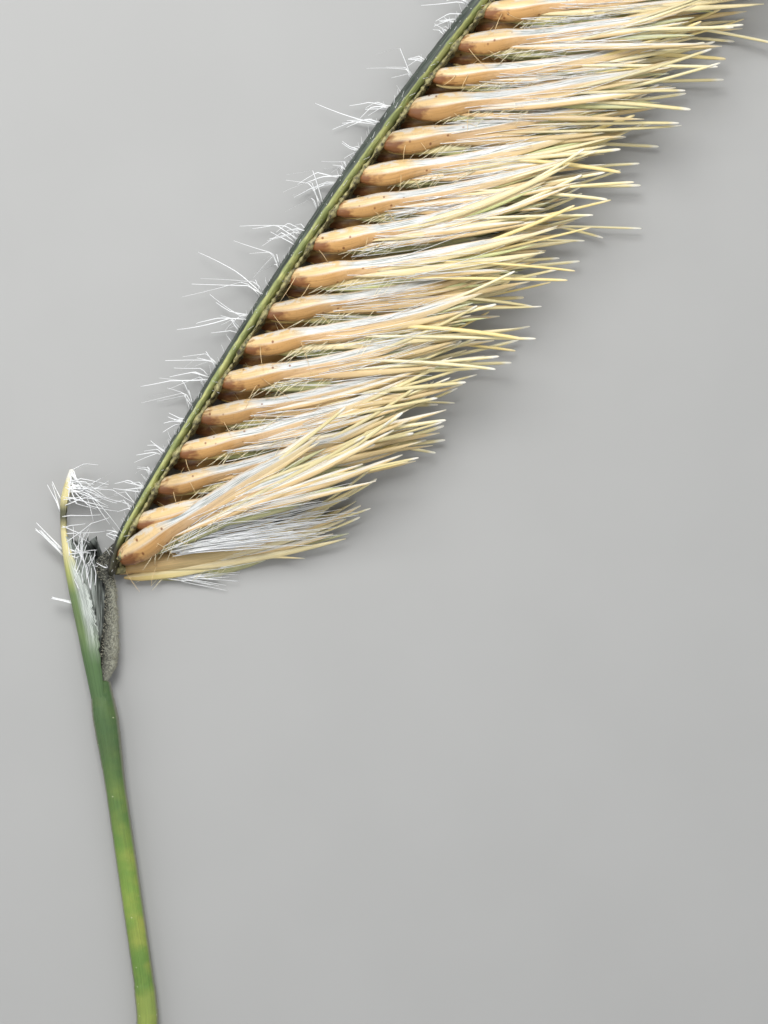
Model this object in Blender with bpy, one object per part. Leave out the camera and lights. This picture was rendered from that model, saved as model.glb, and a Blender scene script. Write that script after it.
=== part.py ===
"""Blue grama seed head: one comb-like spike on a short cut stem, lying on its side.

Metres, +Z up. The spike's axis runs up and to the right in the XY plane, and its spikelets all point
to the right of it, in two rows: the lower row lies on the surface at Z = 0 and the upper row rises
from it. The origin is the middle of the head's outline, on the surface.
"""

import math
import random

import bmesh
import bpy
import numpy as np
from mathutils import Vector

MM = 0.001

# Places, in the part's frame
RACHIS_HALF_WIDE = 0.42 * MM
STEM_TOP = Vector((-9.366 * MM, -7.072 * MM, RACHIS_HALF_WIDE * math.cos(math.pi / 8)))
SPIKE_FOOT = STEM_TOP + Vector((0.24, 2.26, 0.0)) * MM
GAP = 0.02 * MM

# The stem, from its top down to its cut end
STEM_LENGTH = 8.8 * MM
STEM_RADIUS = 0.222 * MM
STEM_TOP_RADIUS = 0.28 * MM
STEM_LEAN = math.radians(8.2)
STEM_BEND_AT = 0.74
STEM_STATIONS = 14
STEM_SIDES_RESOLUTION = 3

# The rachis, the axis that carries the spikelets
RACHIS_LENGTH = 26.0 * MM
RACHIS_ANGLE = math.radians(60.5)
RACHIS_FOOT_TURN = math.radians(20.0)
RACHIS_TURN = math.radians(12.0)
RACHIS_HOOK = math.radians(14.0)
RACHIS_HALF_THICK = 0.17 * MM
RACHIS_SWELL = 0.08 * MM
RACHIS_TIP_SHARE = 0.40
PATH_STEPS = 400

# The spikelets' two rows
PITCH = 0.90 * MM
FIRST_ALONG = (0.40 * MM, 0.14 * MM)
ROW_OFFSET = (0.30 * MM, -0.20 * MM)
SPIKELET_LENGTH = 5.2 * MM
SPIKELET_HALF_HIGH = 0.265 * MM
SPIKELET_HALF_DEEP = 0.22 * MM
LAST_LENGTH_SHARE = 0.58
SPREAD = math.radians(53.0)
TIP_SPREAD = math.radians(26.0)
BEND = math.radians(15.0)
SPLAY = math.radians(10.0)
AWN_RADIUS = 0.05 * MM
AWN_TIP_SHARE = 0.35
TIP_REST = 12
SEED = 14

# The strip of stalks that the spikelets of a row stand on, beside the rachis
STRIP_HALF_THICK = 0.05 * MM
STRIP_HALF_WIDE = 0.12 * MM

# The rough foot of the spike, and the bract beside it
FOOT_SIDE = 0.235 * MM
FOOT_HALF_WIDE = 0.15 * MM
FOOT_HALF_DEEP = 0.17 * MM
BRACT_LENGTH = 4.57 * MM
BRACT_START = 0.26 * MM
BRACT_STRAY = 0.54 * MM
BRACT_HOOK = 0.21 * MM
BRACT_WIDTH = 0.50 * MM
BRACT_TIP_WIDTH = 0.12 * MM
BRACT_HALF_DEEP = 0.29 * MM
BRACT_WALL = 0.07 * MM
BRACT_REACH = math.radians(112.0)

GREEN = (0.20, 0.34, 0.10)
PALE_GREEN = (0.42, 0.48, 0.18)
GREY = (0.20, 0.20, 0.16)
LEAF_GREEN = (0.38, 0.46, 0.20)
STRAW = (0.80, 0.56, 0.26)
PALE_STRAW = (0.86, 0.70, 0.40)


def clear_scene():
    """Removes whatever the file holds."""
    for obj in list(bpy.data.objects):
        bpy.data.objects.remove(obj)


def material(name, colour, roughness):
    """A plain plant surface of one colour."""
    made = bpy.data.materials.new(name)
    made.use_nodes = True
    shader = made.node_tree.nodes["Principled BSDF"]
    shader.inputs["Base Color"].default_value = (*colour, 1.0)
    shader.inputs["Roughness"].default_value = roughness
    shader.inputs["Metallic"].default_value = 0.0
    return made


def ease(share):
    """0 to 1 with a soft start and end."""
    share = min(max(share, 0.0), 1.0)
    return share * share * (3.0 - 2.0 * share)


def rachis_path():
    """The axis as (shares, points, angles): it leaves its foot steeply, runs almost straight, then nods."""
    shares = np.linspace(0.0, 1.0, PATH_STEPS + 1)
    leaving = np.clip(1.0 - shares / 0.05, 0.0, 1.0)
    angles = RACHIS_ANGLE + RACHIS_FOOT_TURN * leaving - RACHIS_TURN * shares - RACHIS_HOOK * shares**3
    middle = (angles[1:] + angles[:-1]) / 2.0
    step = RACHIS_LENGTH / PATH_STEPS
    x = np.concatenate([[0.0], np.cumsum(np.cos(middle) * step)])
    y = np.concatenate([[0.0], np.cumsum(np.sin(middle) * step)])
    return shares, np.stack([x + SPIKE_FOOT.x, y + SPIKE_FOOT.y], axis=1), angles


PATH = rachis_path()


def axis_at(share):
    """(point, direction along, direction towards the spikelets) on the axis at a share of its length."""
    shares, points, angles = PATH
    angle = float(np.interp(share, shares, angles))
    point = Vector(
        (float(np.interp(share, shares, points[:, 0])), float(np.interp(share, shares, points[:, 1])), SPIKE_FOOT.z)
    )
    along = Vector((math.cos(angle), math.sin(angle), 0.0))
    across = Vector((math.sin(angle), -math.cos(angle), 0.0))
    return point, along, across


def axis_half_thick(share):
    """Half the axis's thickness, in the plane of the spike: it swells to its middle and thins to its tip."""
    swollen = RACHIS_HALF_THICK + RACHIS_SWELL * ease(share / 0.5)
    return swollen * (1.0 - (1.0 - RACHIS_TIP_SHARE) * ease((share - 0.55) / 0.45))


def skin(name, rings):
    """A closed body through rings of points that all have the same number of points."""
    bm = bmesh.new()
    placed = [[bm.verts.new(point) for point in ring] for ring in rings]
    count = len(placed[0])
    for first, second in zip(placed, placed[1:]):
        for corner in range(count):
            after = (corner + 1) % count
            bm.faces.new((first[corner], first[after], second[after], second[corner]))
    bm.faces.new(placed[0])
    bm.faces.new(placed[-1])
    bmesh.ops.recalc_face_normals(bm, faces=bm.faces)
    mesh = bpy.data.meshes.new(name)
    bm.to_mesh(mesh)
    bm.free()
    return bpy.data.objects.new(name, mesh)


def loft(name, stations, sides, turn=0.0):
    """A closed body through oval sections. A station is (centre, half height, half depth), both as vectors."""
    rings = []
    for centre, up, side in stations:
        corners = [turn + 2.0 * math.pi * corner / sides for corner in range(sides)]
        rings.append([centre + up * math.cos(corner) + side * math.sin(corner) for corner in corners])
    return skin(name, rings)


def finish(obj, home, finish_material, smooth_angle=40.0):
    """Puts a finished piece in its collection, in one material and shaded smooth."""
    home.objects.link(obj)
    obj.data.materials.clear()
    obj.data.materials.append(finish_material)
    if obj.type == "MESH":
        obj.data.shade_smooth()
        obj.data.set_sharp_from_angle(angle=math.radians(smooth_angle))
    return obj


def make_culm(home, finish_material):
    """The stem: it leans a little, straightens near its cut end and sinks towards the surface."""
    curve = bpy.data.curves.new("culm", "CURVE")
    curve.dimensions = "3D"
    curve.bevel_depth = 1.0
    curve.bevel_resolution = STEM_SIDES_RESOLUTION
    curve.use_fill_caps = True
    spline = curve.splines.new("POLY")
    spline.points.add(STEM_STATIONS - 1)
    point = STEM_TOP.copy()
    step = STEM_LENGTH / (STEM_STATIONS - 1)
    sink = (STEM_TOP.z - STEM_RADIUS) / STEM_LENGTH
    for place, target in enumerate(spline.points):
        share = place / (STEM_STATIONS - 1)
        target.co = (*point, 1.0)
        swell = 1.0 - ease(share / 0.22)
        target.radius = STEM_RADIUS + (STEM_TOP_RADIUS - STEM_RADIUS) * swell
        lean = STEM_LEAN * (1.0 - ease((share - STEM_BEND_AT) / 0.08))
        point += Vector((math.sin(lean), -math.cos(lean), -sink)) * step
    return finish(bpy.data.objects.new("culm", curve), home, finish_material)


def make_spike_foot(home, finish_material):
    """The short rough column that carries the spike beside the bract."""
    start = STEM_TOP + Vector((FOOT_SIDE, GAP, 0.0))
    foot_end, along, _ = axis_at(0.0)
    end = foot_end - along * (GAP + 0.03 * MM)
    profile = ((0.0, 0.70), (0.05, 0.95), (0.25, 1.05), (0.60, 0.84), (0.85, 0.95), (1.0, 0.85))
    stations = []
    for share, size in profile:
        centre = start.lerp(end, share)
        centre.x += 0.03 * MM * math.sin(math.pi * share)
        stations.append((centre, Vector((FOOT_HALF_WIDE * size, 0.0, 0.0)), Vector((0.0, 0.0, FOOT_HALF_DEEP * size))))
    return finish(loft("spike_foot", stations, 8, math.pi / 8), home, finish_material)


def make_bract(home, finish_material):
    """The pointed scale at the spike's foot: a channel open towards the spike, closing to a narrow point."""
    columns = 7
    rings = []
    for share in (0.0, 0.12, 0.24, 0.34, 0.44, 0.54, 0.64, 0.76, 0.86, 0.93, 1.0):
        stray = BRACT_START + BRACT_STRAY * math.sin(math.pi / 2.0 * min(share / 0.8, 1.0)) ** 1.4
        left = BRACT_HOOK * (max(share - 0.83, 0.0) / 0.17) ** 1.5 - stray
        broad = BRACT_TIP_WIDTH + (BRACT_WIDTH - BRACT_TIP_WIDTH) * (1.0 - ease((share - 0.34) / 0.38))
        broad *= (0.72 + 0.28 * ease(share / 0.24)) * (1.0 - 0.45 * ease((share - 0.88) / 0.12))
        deep = BRACT_HALF_DEEP * broad / BRACT_WIDTH * (1.0 + 0.35 * (1.0 - ease(share / 0.24)))
        half_wide = broad / (1.0 - math.cos(BRACT_REACH))
        wall = min(BRACT_WALL, 0.6 * deep)
        centre = STEM_TOP + Vector((left + half_wide, share * BRACT_LENGTH + GAP, 0.0))
        ring = []
        for side, shrink in ((1.0, 0.0), (-1.0, wall)):
            for column in range(columns):
                angle = side * BRACT_REACH * (2.0 * column / (columns - 1) - 1.0)
                wide = half_wide - shrink
                ring.append(centre + Vector((-math.cos(angle) * wide, 0.0, math.sin(angle) * (deep - shrink))))
        rings.append(ring)
    return finish(skin("bract", rings), home, finish_material)


def make_rachis(home, finish_material):
    """The flat axis, thinning to its tip, a little wavy where each spikelet of the upper row stands."""
    count = round(RACHIS_LENGTH / PITCH)
    stations = []
    for place in range(count + 1):
        share = place / count
        point, _, across = axis_at(share)
        thick = axis_half_thick(share) * (1.0 + 0.05 * (-1.0) ** place)
        wide = RACHIS_HALF_WIDE * (1.0 - (1.0 - RACHIS_TIP_SHARE) * ease((share - 0.55) / 0.45))
        stations.append((point, across * thick, Vector((0.0, 0.0, wide))))
    return finish(loft("rachis", stations, 8, math.pi / 8), home, finish_material)


def spikelet_plan(row):
    """Where each spikelet of a row stands and how it leans: a list of dictionaries, the same on every run."""
    draw = random.Random(SEED + row)
    count = int((RACHIS_LENGTH - FIRST_ALONG[row]) / PITCH) + 1
    plans = []
    for place in range(count):
        share = (FIRST_ALONG[row] + place * PITCH) / RACHIS_LENGTH
        axis_angle = float(np.interp(share, PATH[0], PATH[2]))
        nodding = ease((share - 0.50) / 0.50)
        spread = SPREAD + (TIP_SPREAD - SPREAD) * nodding
        bend = BEND * (1.0 - 0.5 * nodding) + math.radians(draw.uniform(-4.0, 4.0))
        angle = axis_angle - spread + math.radians(draw.uniform(-1.8, 1.8))
        if place == 0:
            angle = math.radians((29.0, 6.0)[row])
            bend = math.radians((4.0, 22.0)[row])
        elif place < 4:
            angle += math.radians(4.0 - place)
            bend += math.radians(2.5 * (4 - place))
        plans.append(
            {
                "share": share,
                "angle": angle,
                "bend": bend,
                "splay": SPLAY + math.radians(draw.uniform(-3.5, 4.5)),
                "lemma_side": 1.0 if row == 1 and place == 0 else -1.0,
                "under": (draw.uniform(0.04, 0.10) * MM, draw.uniform(0.08, 0.20) * MM * (place != TIP_REST)),
                "size": (1.0 - (1.0 - LAST_LENGTH_SHARE) * ease((share - 0.66) / 0.34)) * draw.uniform(0.96, 1.04),
                "awns": [
                    (draw.uniform(-1.0, 6.0), draw.uniform(-2.0, 3.0), draw.uniform(1.12, 1.22)),
                    (draw.uniform(-24.0, -9.0), draw.uniform(-1.0, 5.0), draw.uniform(1.08, 1.22)),
                ],
            }
        )
    return plans


def spikelet_line(plan, row):
    """A function from a share of the spikelet's length to (centre, in-plane normal) on its middle line.

    The line starts in the strip beside the axis and leans at the plan's angle, bending upwards in the
    plane. In the upper row it climbs at the splay. In the lower row it drops onto the surface.
    """
    point, _, across = axis_at(plan["share"])
    base = point + across * (axis_half_thick(plan["share"]) + GAP + STRIP_HALF_THICK)
    length = SPIKELET_LENGTH * plan["size"]
    row_z = SPIKE_FOOT.z + ROW_OFFSET[row]

    def at(share, half_deep=0.0):
        angle = plan["angle"] + plan["bend"] * share / 2.0
        run = length * share
        x = base.x + math.cos(angle) * run
        y = base.y + math.sin(angle) * run
        if row == 0:
            z = row_z + math.sin(plan["splay"]) * run
        else:
            grain, tip = plan["under"]
            resting = half_deep * math.cos(math.pi / 6) + grain + (tip - grain) * share
            z = row_z + (resting - row_z) * ease(share / 0.10)
        heading = plan["angle"] + plan["bend"] * share
        return Vector((x, y, z)), Vector((-math.sin(heading), math.cos(heading), 0.0))

    return at


def glume_body(name, plan, row):
    """The closed glumes: a plump grain-like base that narrows to a long pointed blade."""
    profile = ((0.0, 0.40), (0.04, 0.84), (0.13, 1.0), (0.27, 0.66), (0.60, 0.42), (1.0, 0.07))
    at = spikelet_line(plan, row)
    size = plan["size"]
    stations = []
    for share, width in profile:
        half_deep = SPIKELET_HALF_DEEP * width * size
        centre, normal = at(share, half_deep)
        stations.append((centre, normal * SPIKELET_HALF_HIGH * width * size, Vector((0.0, 0.0, half_deep))))
    return loft(name, stations, 6)


def lemma_body(name, plan, row):
    """The floret below the glumes: a flat blade that widens at its middle and ends in a point."""
    profile = ((0.10, 0.30), (0.40, 0.95), (0.66, 1.0), (1.03, 0.08))
    at = spikelet_line(plan, row)
    size = plan["size"]
    half_high = 0.17 * MM * size
    half_deep = 0.075 * MM * size
    stations = []
    for share, width in profile:
        centre, normal = at(share, SPIKELET_HALF_DEEP * 0.6 * size)
        aside = plan["lemma_side"] * 0.17 * MM * size * ease(share / 0.4)
        stations.append((centre + normal * aside, normal * half_high * width, Vector((0.0, 0.0, half_deep * width))))
    return loft(name, stations, 4)


def awn_body(name, plan, row, awn):
    """One bristle: it leaves the spikelet past its middle and runs on beyond the point."""
    leave = 0.55
    turn, climb, reach = awn
    at = spikelet_line(plan, row)
    start, normal = at(leave, AWN_RADIUS)
    heading = plan["angle"] + plan["bend"] * leave + math.radians(turn) * 0.6
    length = SPIKELET_LENGTH * plan["size"] * (reach - leave)
    slope = math.radians(climb) + (plan["splay"] if row == 0 else math.radians(2.0))
    stations = []
    for share in (0.0, 0.55, 1.0):
        angle = heading + math.radians(turn) * 0.4 * share
        run = length * share
        centre = start + Vector((math.cos(angle) * run, math.sin(angle) * run, math.sin(slope) * run))
        radius = AWN_RADIUS * (1.0 - (1.0 - AWN_TIP_SHARE) * share**2)
        floor = radius * (0.5 if row == 0 else 1.0) + (0.0 if row == 0 else 0.01 * MM)
        centre.z = max(centre.z, floor)
        across = Vector((-math.sin(angle), math.cos(angle), 0.0))
        stations.append((centre, across * radius, Vector((0.0, 0.0, radius))))
    return loft(name, stations, 3)


def keep_largest(mesh):
    """Keeps the mesh's largest body: a hollow that the fusing sealed is filled, and a loose scrap dropped."""
    bm = bmesh.new()
    bm.from_mesh(mesh)
    unseen = set(bm.faces)
    bodies = []
    while unseen:
        edge_of_search = [unseen.pop()]
        body = []
        while edge_of_search:
            face = edge_of_search.pop()
            body.append(face)
            for edge in face.edges:
                for other in edge.link_faces:
                    if other in unseen:
                        unseen.remove(other)
                        edge_of_search.append(other)
        bodies.append(body)
    bodies.sort(key=len, reverse=True)
    print(mesh.name, "bodies after fusing:", [len(body) for body in bodies])
    spare = [face for body in bodies[1:] for face in body]
    bmesh.ops.delete(bm, geom=spare, context="FACES")
    bm.to_mesh(mesh)
    bm.free()


def make_row(name, row, home, finish_material):
    """One row of spikelets, fused to the strip of short stalks that runs beside the axis."""
    joined = bpy.data.collections.new(name + "_pieces")
    plans = spikelet_plan(row)
    last = plans[-1]["share"]
    stations = []
    count = len(plans)
    for place in range(count + 1):
        share = last * place / count + 0.004
        point, _, across = axis_at(share)
        size = 1.0 - (1.0 - RACHIS_TIP_SHARE) * ease((share - 0.55) / 0.45)
        centre = point + across * (axis_half_thick(share) * 1.05 + GAP + STRIP_HALF_THICK)
        centre.z += ROW_OFFSET[row] * (0.55 + 0.45 * size)
        thick = across * STRIP_HALF_THICK * math.sqrt(2.0)
        stations.append((centre, thick, Vector((0.0, 0.0, STRIP_HALF_WIDE * math.sqrt(2.0)))))
    row_body = loft(name, stations, 4, math.pi / 4)
    for place, plan in enumerate(plans):
        label = f"{name}_{place:02d}"
        joined.objects.link(glume_body(label + "_glume", plan, row))
        joined.objects.link(lemma_body(label + "_lemma", plan, row))
        for number, awn in enumerate(plan["awns"]):
            joined.objects.link(awn_body(f"{label}_awn_{number}", plan, row, awn))
    bpy.context.scene.collection.children.link(joined)
    finish(row_body, home, finish_material)
    union = row_body.modifiers.new("spikelets", "BOOLEAN")
    union.operation = "UNION"
    union.operand_type = "COLLECTION"
    union.collection = joined
    union.solver = "EXACT"
    graph = bpy.context.evaluated_depsgraph_get()
    fused = bpy.data.meshes.new_from_object(row_body.evaluated_get(graph))
    row_body.modifiers.clear()
    row_body.data = fused
    for piece in list(joined.objects):
        bpy.data.objects.remove(piece)
    bpy.data.collections.remove(joined)
    keep_largest(fused)
    fused.shade_smooth()
    fused.set_sharp_from_angle(angle=math.radians(40.0))
    return row_body


def main():
    """Builds the seed head's pieces in one collection."""
    clear_scene()
    home = bpy.data.collections.new("blue_grama_seed_head")
    bpy.context.scene.collection.children.link(home)
    make_culm(home, material("stem_green", GREEN, 0.55))
    make_spike_foot(home, material("foot_grey", GREY, 0.85))
    make_bract(home, material("bract_green", LEAF_GREEN, 0.6))
    make_rachis(home, material("axis_green", PALE_GREEN, 0.6))
    make_row("spikelets_upper_row", 0, home, material("straw", STRAW, 0.6))
    make_row("spikelets_lower_row", 1, home, material("pale_straw", PALE_STRAW, 0.6))


main()
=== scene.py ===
"""Blue grama seed head, lying on a pale surface and seen from straight above.

The stem, bract, foot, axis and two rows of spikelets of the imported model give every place. Each is
replaced here by finer pieces of the same form: husks, bristles and hairs worked out as whole numpy
arrays. Lengths in this file are millimetres until a mesh is made.
"""

from __future__ import annotations

import logging
import math
import random
from dataclasses import dataclass, field, replace
from enum import Enum

import bpy
import numpy as np
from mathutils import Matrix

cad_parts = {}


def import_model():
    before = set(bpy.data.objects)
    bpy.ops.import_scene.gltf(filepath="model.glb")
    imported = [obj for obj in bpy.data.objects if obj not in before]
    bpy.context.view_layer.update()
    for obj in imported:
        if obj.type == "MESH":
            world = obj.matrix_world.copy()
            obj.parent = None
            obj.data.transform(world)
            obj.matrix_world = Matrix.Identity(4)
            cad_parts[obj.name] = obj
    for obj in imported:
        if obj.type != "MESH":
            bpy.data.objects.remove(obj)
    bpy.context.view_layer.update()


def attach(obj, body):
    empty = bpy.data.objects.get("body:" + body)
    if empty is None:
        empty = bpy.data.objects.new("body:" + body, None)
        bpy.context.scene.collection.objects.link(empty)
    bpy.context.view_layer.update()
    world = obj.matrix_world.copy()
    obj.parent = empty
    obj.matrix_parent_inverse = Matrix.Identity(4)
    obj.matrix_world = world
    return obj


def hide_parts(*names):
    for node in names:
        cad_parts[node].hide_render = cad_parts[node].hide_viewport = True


Array = np.ndarray
Colour = tuple[float, float, float]
Point = tuple[float, float, float]
Rates = tuple[float, float, float]
Stops = tuple[tuple[float, float], ...]
Socket = bpy.types.NodeSocket

MM = 0.001
FULL_TURN = 2.0 * math.pi
RIGHT = np.array([1.0, 0.0, 0.0])
STEM_TOP = (-9.366, -7.072, 0.388)
BODY = "root"
UV_NAME = "husk"
TONE_NAME = "tone"
FLOOR_CLEARANCE = 0.004

log = logging.getLogger("seed_head")


class Row(Enum):
    """The two rows of spikelets: the upper one rises to the viewer and the lower one lies on the surface."""

    UPPER = 0
    LOWER = 1


class Facing(Enum):
    """Which way a sheath's hollow side looks."""

    RIGHT = 1
    LEFT = -1


# Numbers and shapes


def ease(share: Array | float) -> Array:
    """Goes from 0 to 1 with a soft start and end: three times the square less twice the cube."""
    held = np.clip(share, 0.0, 1.0)
    return held * held * (3.0 - 2.0 * held)


def profile(shares: Array, stops: Stops) -> Array:
    """Reads a size along a piece.

    Between two stops the size is the mean of a straight line and one with ease, so no corner shows.

    Args:
        shares: Where to read it, from 0 at the root to 1 at the tip.
        stops: Pairs of share and size, in order.

    Returns:
        The sizes, in the shape of shares.
    """
    places = np.array([stop[0] for stop in stops])
    sizes = np.array([stop[1] for stop in stops])
    after = np.clip(np.searchsorted(places, shares, side="right"), 1, len(places) - 1)
    span = (shares - places[after - 1]) / (places[after] - places[after - 1])
    span = np.clip(span, 0.0, 1.0)
    smooth = 0.5 * span + 0.5 * ease(span)
    return sizes[after - 1] + (sizes[after] - sizes[after - 1]) * smooth


def circle(corners: int) -> Array:
    """Evenly spaced angles once around a section."""
    return np.linspace(0.0, FULL_TURN, corners, endpoint=False)


def oval(corners: int, keel: Array) -> tuple[Array, Array]:
    """A section's outline: a superellipse that sharpens from an oval to a tent with a keel.

    Each coordinate is the cosine or sine of the corner's angle, with its size raised to the power keel.

    Args:
        corners: How many corners the section has.
        keel: The power at each station: 1 is an oval and 1.7 nearly a diamond.

    Returns:
        Two arrays with a last axis of corners: how far across and how far up each corner is.
    """
    angle = circle(corners)
    power = np.asarray(keel)[..., None]
    across = np.sign(np.cos(angle)) * np.abs(np.cos(angle)) ** power
    up = np.sign(np.sin(angle)) * np.abs(np.sin(angle)) ** power
    return across, up


def waves(places: Array, seed: int, count: int = 5, finest: float = 60.0) -> Array:
    """A smooth random line between about -1 and 1, as a sum of sines whose rates and phases are drawn.

    Args:
        places: Where to read it.
        seed: Which line it is.
        count: How many sines there are.
        finest: The fastest rate that a sine may have.

    Returns:
        The line's heights, in the shape of places.
    """
    draw = np.random.default_rng(seed)
    rates = draw.uniform(finest * 0.15, finest, count)
    phases = draw.uniform(0.0, FULL_TURN, count)
    return np.sin(places[..., None] * rates + phases).sum(axis=-1) / math.sqrt(count)


# Meshes


def tube_faces(tubes: int, stations: int, corners: int) -> tuple[Array, Array]:
    """Joins the rings of many tubes and closes their ends.

    Args:
        tubes: How many tubes there are.
        stations: Rings in each tube.
        corners: Corners in each ring.

    Returns:
        The quads between rings, and the triangles from each end ring to that end's middle point. The
        middle points follow all the rings' points: every tube's first, then every tube's last.
    """
    index = np.arange(tubes * stations * corners).reshape(tubes, stations, corners)
    after = np.roll(index, -1, axis=2)
    quads = np.stack([index[:, :-1], after[:, :-1], after[:, 1:], index[:, 1:]], axis=-1).reshape(-1, 4)
    first = np.repeat(tubes * stations * corners + np.arange(tubes), corners).reshape(tubes, corners)
    last = first + tubes
    start = np.stack([after[:, 0], index[:, 0], first], axis=-1).reshape(-1, 3)
    end = np.stack([index[:, -1], after[:, -1], last], axis=-1).reshape(-1, 3)
    return quads, np.concatenate([start, end])


def tube_uvs(tubes: int, shares: Array, corners: int) -> Array:
    """The UVs of the tubes: U is the share along, and V the share around.

    Args:
        tubes: How many tubes there are.
        shares: U for each ring.
        corners: Corners in each ring.

    Returns:
        One flat array, with a pair for each corner of each face of tube_faces, in its order.
    """
    around = np.arange(corners + 1) / corners
    parts = (shares[:-1, None], shares[1:, None], around[:-1], around[1:])
    u_low, u_high, v_low, v_high = np.broadcast_arrays(*parts)
    quad = np.stack([u_low, v_low, u_low, v_high, u_high, v_high, u_high, v_low], axis=-1).reshape(-1)
    middle = np.full(corners, 0.5)
    first = np.full(corners, shares[0])
    last = np.full(corners, shares[-1])
    start = np.stack([first, around[1:], first, around[:-1], first, middle], axis=-1)
    end = np.stack([last, around[:-1], last, around[1:], last, middle], axis=-1)
    return np.concatenate([np.tile(uvs.reshape(-1), tubes) for uvs in (quad, start, end)])


def signed_volume(points: Array, triangles: Array) -> float:
    """Six times a closed surface's volume, below zero where it is inside out."""
    corners = points[triangles]
    return float(np.einsum("ij,ij->", corners[:, 0], np.cross(corners[:, 1], corners[:, 2])))


def tube_mesh(
    name: str, rings: Array, tones: Array | None = None, shares: Array | None = None
) -> bpy.types.Mesh:
    """Makes one mesh of many closed tubes.

    rings[t, s, c] is corner c of ring s of tube t. Quads run between rings, and a fan to a ring's middle
    closes each end. Where the whole comes out with a negative volume, every face is turned.

    Args:
        name: The mesh's name.
        rings: The corners in millimetres, as (tubes, stations, corners, 3).
        tones: A number from 0 to 1 for each tube, which its finish reads to vary its colour.
        shares: U for each station, or None for even steps.

    Returns:
        The mesh, in metres.
    """
    tubes, stations, corners, _ = rings.shape
    places = np.linspace(0.0, 1.0, stations) if shares is None else shares
    quads, fans = tube_faces(tubes, stations, corners)
    ends = np.concatenate([rings[:, 0].mean(axis=1), rings[:, -1].mean(axis=1)])
    points = np.concatenate([rings.reshape(-1, 3), ends]) * MM
    uvs = tube_uvs(tubes, places, corners)
    halves = np.concatenate([quads[:, [0, 1, 2]], quads[:, [0, 2, 3]], fans])
    if signed_volume(points, halves) < 0.0:
        quad_uvs = uvs[: quads.size * 2].reshape(-1, 4, 2)[:, ::-1]
        fan_uvs = uvs[quads.size * 2 :].reshape(-1, 3, 2)[:, ::-1]
        quads, fans = quads[:, ::-1], fans[:, ::-1]
        uvs = np.concatenate([quad_uvs.reshape(-1), fan_uvs.reshape(-1)])
    mesh = bpy.data.meshes.new(name)
    mesh.from_pydata(points.tolist(), [], quads.tolist() + fans.tolist())
    layer = mesh.uv_layers.new(name=UV_NAME)
    layer.data.foreach_set("uv", uvs.astype(np.float32))
    tone = mesh.attributes.new(TONE_NAME, "FLOAT", "POINT")
    each = np.full(tubes, 0.5) if tones is None else np.asarray(tones)
    values = np.concatenate([np.repeat(each, stations * corners), each, each])
    tone.data.foreach_set("value", values.astype(np.float32))
    mesh.shade_smooth()
    return mesh


def place_piece(mesh: bpy.types.Mesh, finish: Finish, node: str) -> None:
    """Shows a finished mesh as a piece of the seed head, and reports it.

    Args:
        mesh: The piece's mesh, already in the part's frame.
        finish: What it is made of.
        node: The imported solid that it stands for.
    """
    piece = bpy.data.objects.new(mesh.name, mesh)
    bpy.context.scene.collection.objects.link(piece)
    mesh.materials.append(finish.material())
    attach(piece, BODY)
    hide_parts(node)
    log.info("%s: %d faces", mesh.name, len(mesh.polygons))


def on_surface(rings: Array) -> Array:
    """Presses what would be under the table flat on it."""
    rings[..., 2] = np.maximum(rings[..., 2], FLOOR_CLEARANCE)
    return rings


def carry_round(line: Array, side: Array, half_wide: Array, half_high: Array, angle: Array) -> Array:
    """Carries a round section along a line.

    A corner is the line's place, plus the side vector times the half width and the cosine of the corner's
    angle, with the half height times the sine of that angle added to its height.

    Args:
        line: Places on the line, with a last axis of x, y and z.
        side: Level unit vectors across the line, in the same form.
        half_wide: Half widths, with a last axis for the corners, or of one.
        half_high: Half heights, in the same form.
        angle: The corners' angles.

    Returns:
        The corners, with one more axis than line, pressed flat where they would be under the table.
    """
    rings = line[..., None, :] + side[..., None, :] * (half_wide * np.cos(angle))[..., None]
    rings[..., 2] += half_high * np.sin(angle)
    return on_surface(rings)


@dataclass
class Hairs:
    """Fine hairs: roots, unit headings before and after a kink, lengths, and how far each tip strays.

    kink is the share of a hair's length where it turns, for all or for each.
    """

    roots: Array
    headings: Array
    lengths: Array
    bends: Array
    turned: Array | None = None
    kink: Array | float = 0.35

    @property
    def seconds(self) -> Array:
        """The headings past the kink."""
        return self.headings if self.turned is None else self.turned


def hair_rings(hairs: Hairs, radius: float, stations: int) -> Array:
    """Works out fine hairs as three-sided tapering tubes.

    A hair's middle line is its root, plus its first heading times the share of its length up to the kink,
    plus its second heading times the share past it, plus its bend times the square of the whole share.
    Its radius falls by six tenths to the tip.

    Args:
        hairs: Where the hairs start and how they run.
        radius: The radius at the root.
        stations: Rings in each hair.

    Returns:
        The rings' corners, as (hairs, stations, 3, 3).
    """
    share = np.linspace(0.0, 1.0, stations)[None, :, None]
    length = hairs.lengths[:, None, None]
    kink = np.reshape(hairs.kink, (-1, 1, 1))
    first = hairs.headings[:, None] * np.minimum(share, kink)
    second = hairs.seconds[:, None] * np.maximum(share - kink, 0.0)
    line = hairs.roots[:, None] + length * (first + second + hairs.bends[:, None] * share**2)
    line[..., 2] = np.maximum(line[..., 2], radius + FLOOR_CLEARANCE)
    side = unit(np.cross(hairs.headings, np.array([0.21, -0.33, 0.92])))
    other = np.cross(hairs.headings, side)
    angle = circle(3)
    ring = side[:, None, None] * np.cos(angle)[:, None] + other[:, None, None] * np.sin(angle)[:, None]
    thin = radius * (1.0 - 0.6 * share)[..., None]
    return line[:, :, None] + ring * thin


def unit(vectors: Array) -> Array:
    """The vectors, each divided by its length."""
    return vectors / np.linalg.norm(vectors, axis=-1, keepdims=True)


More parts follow.
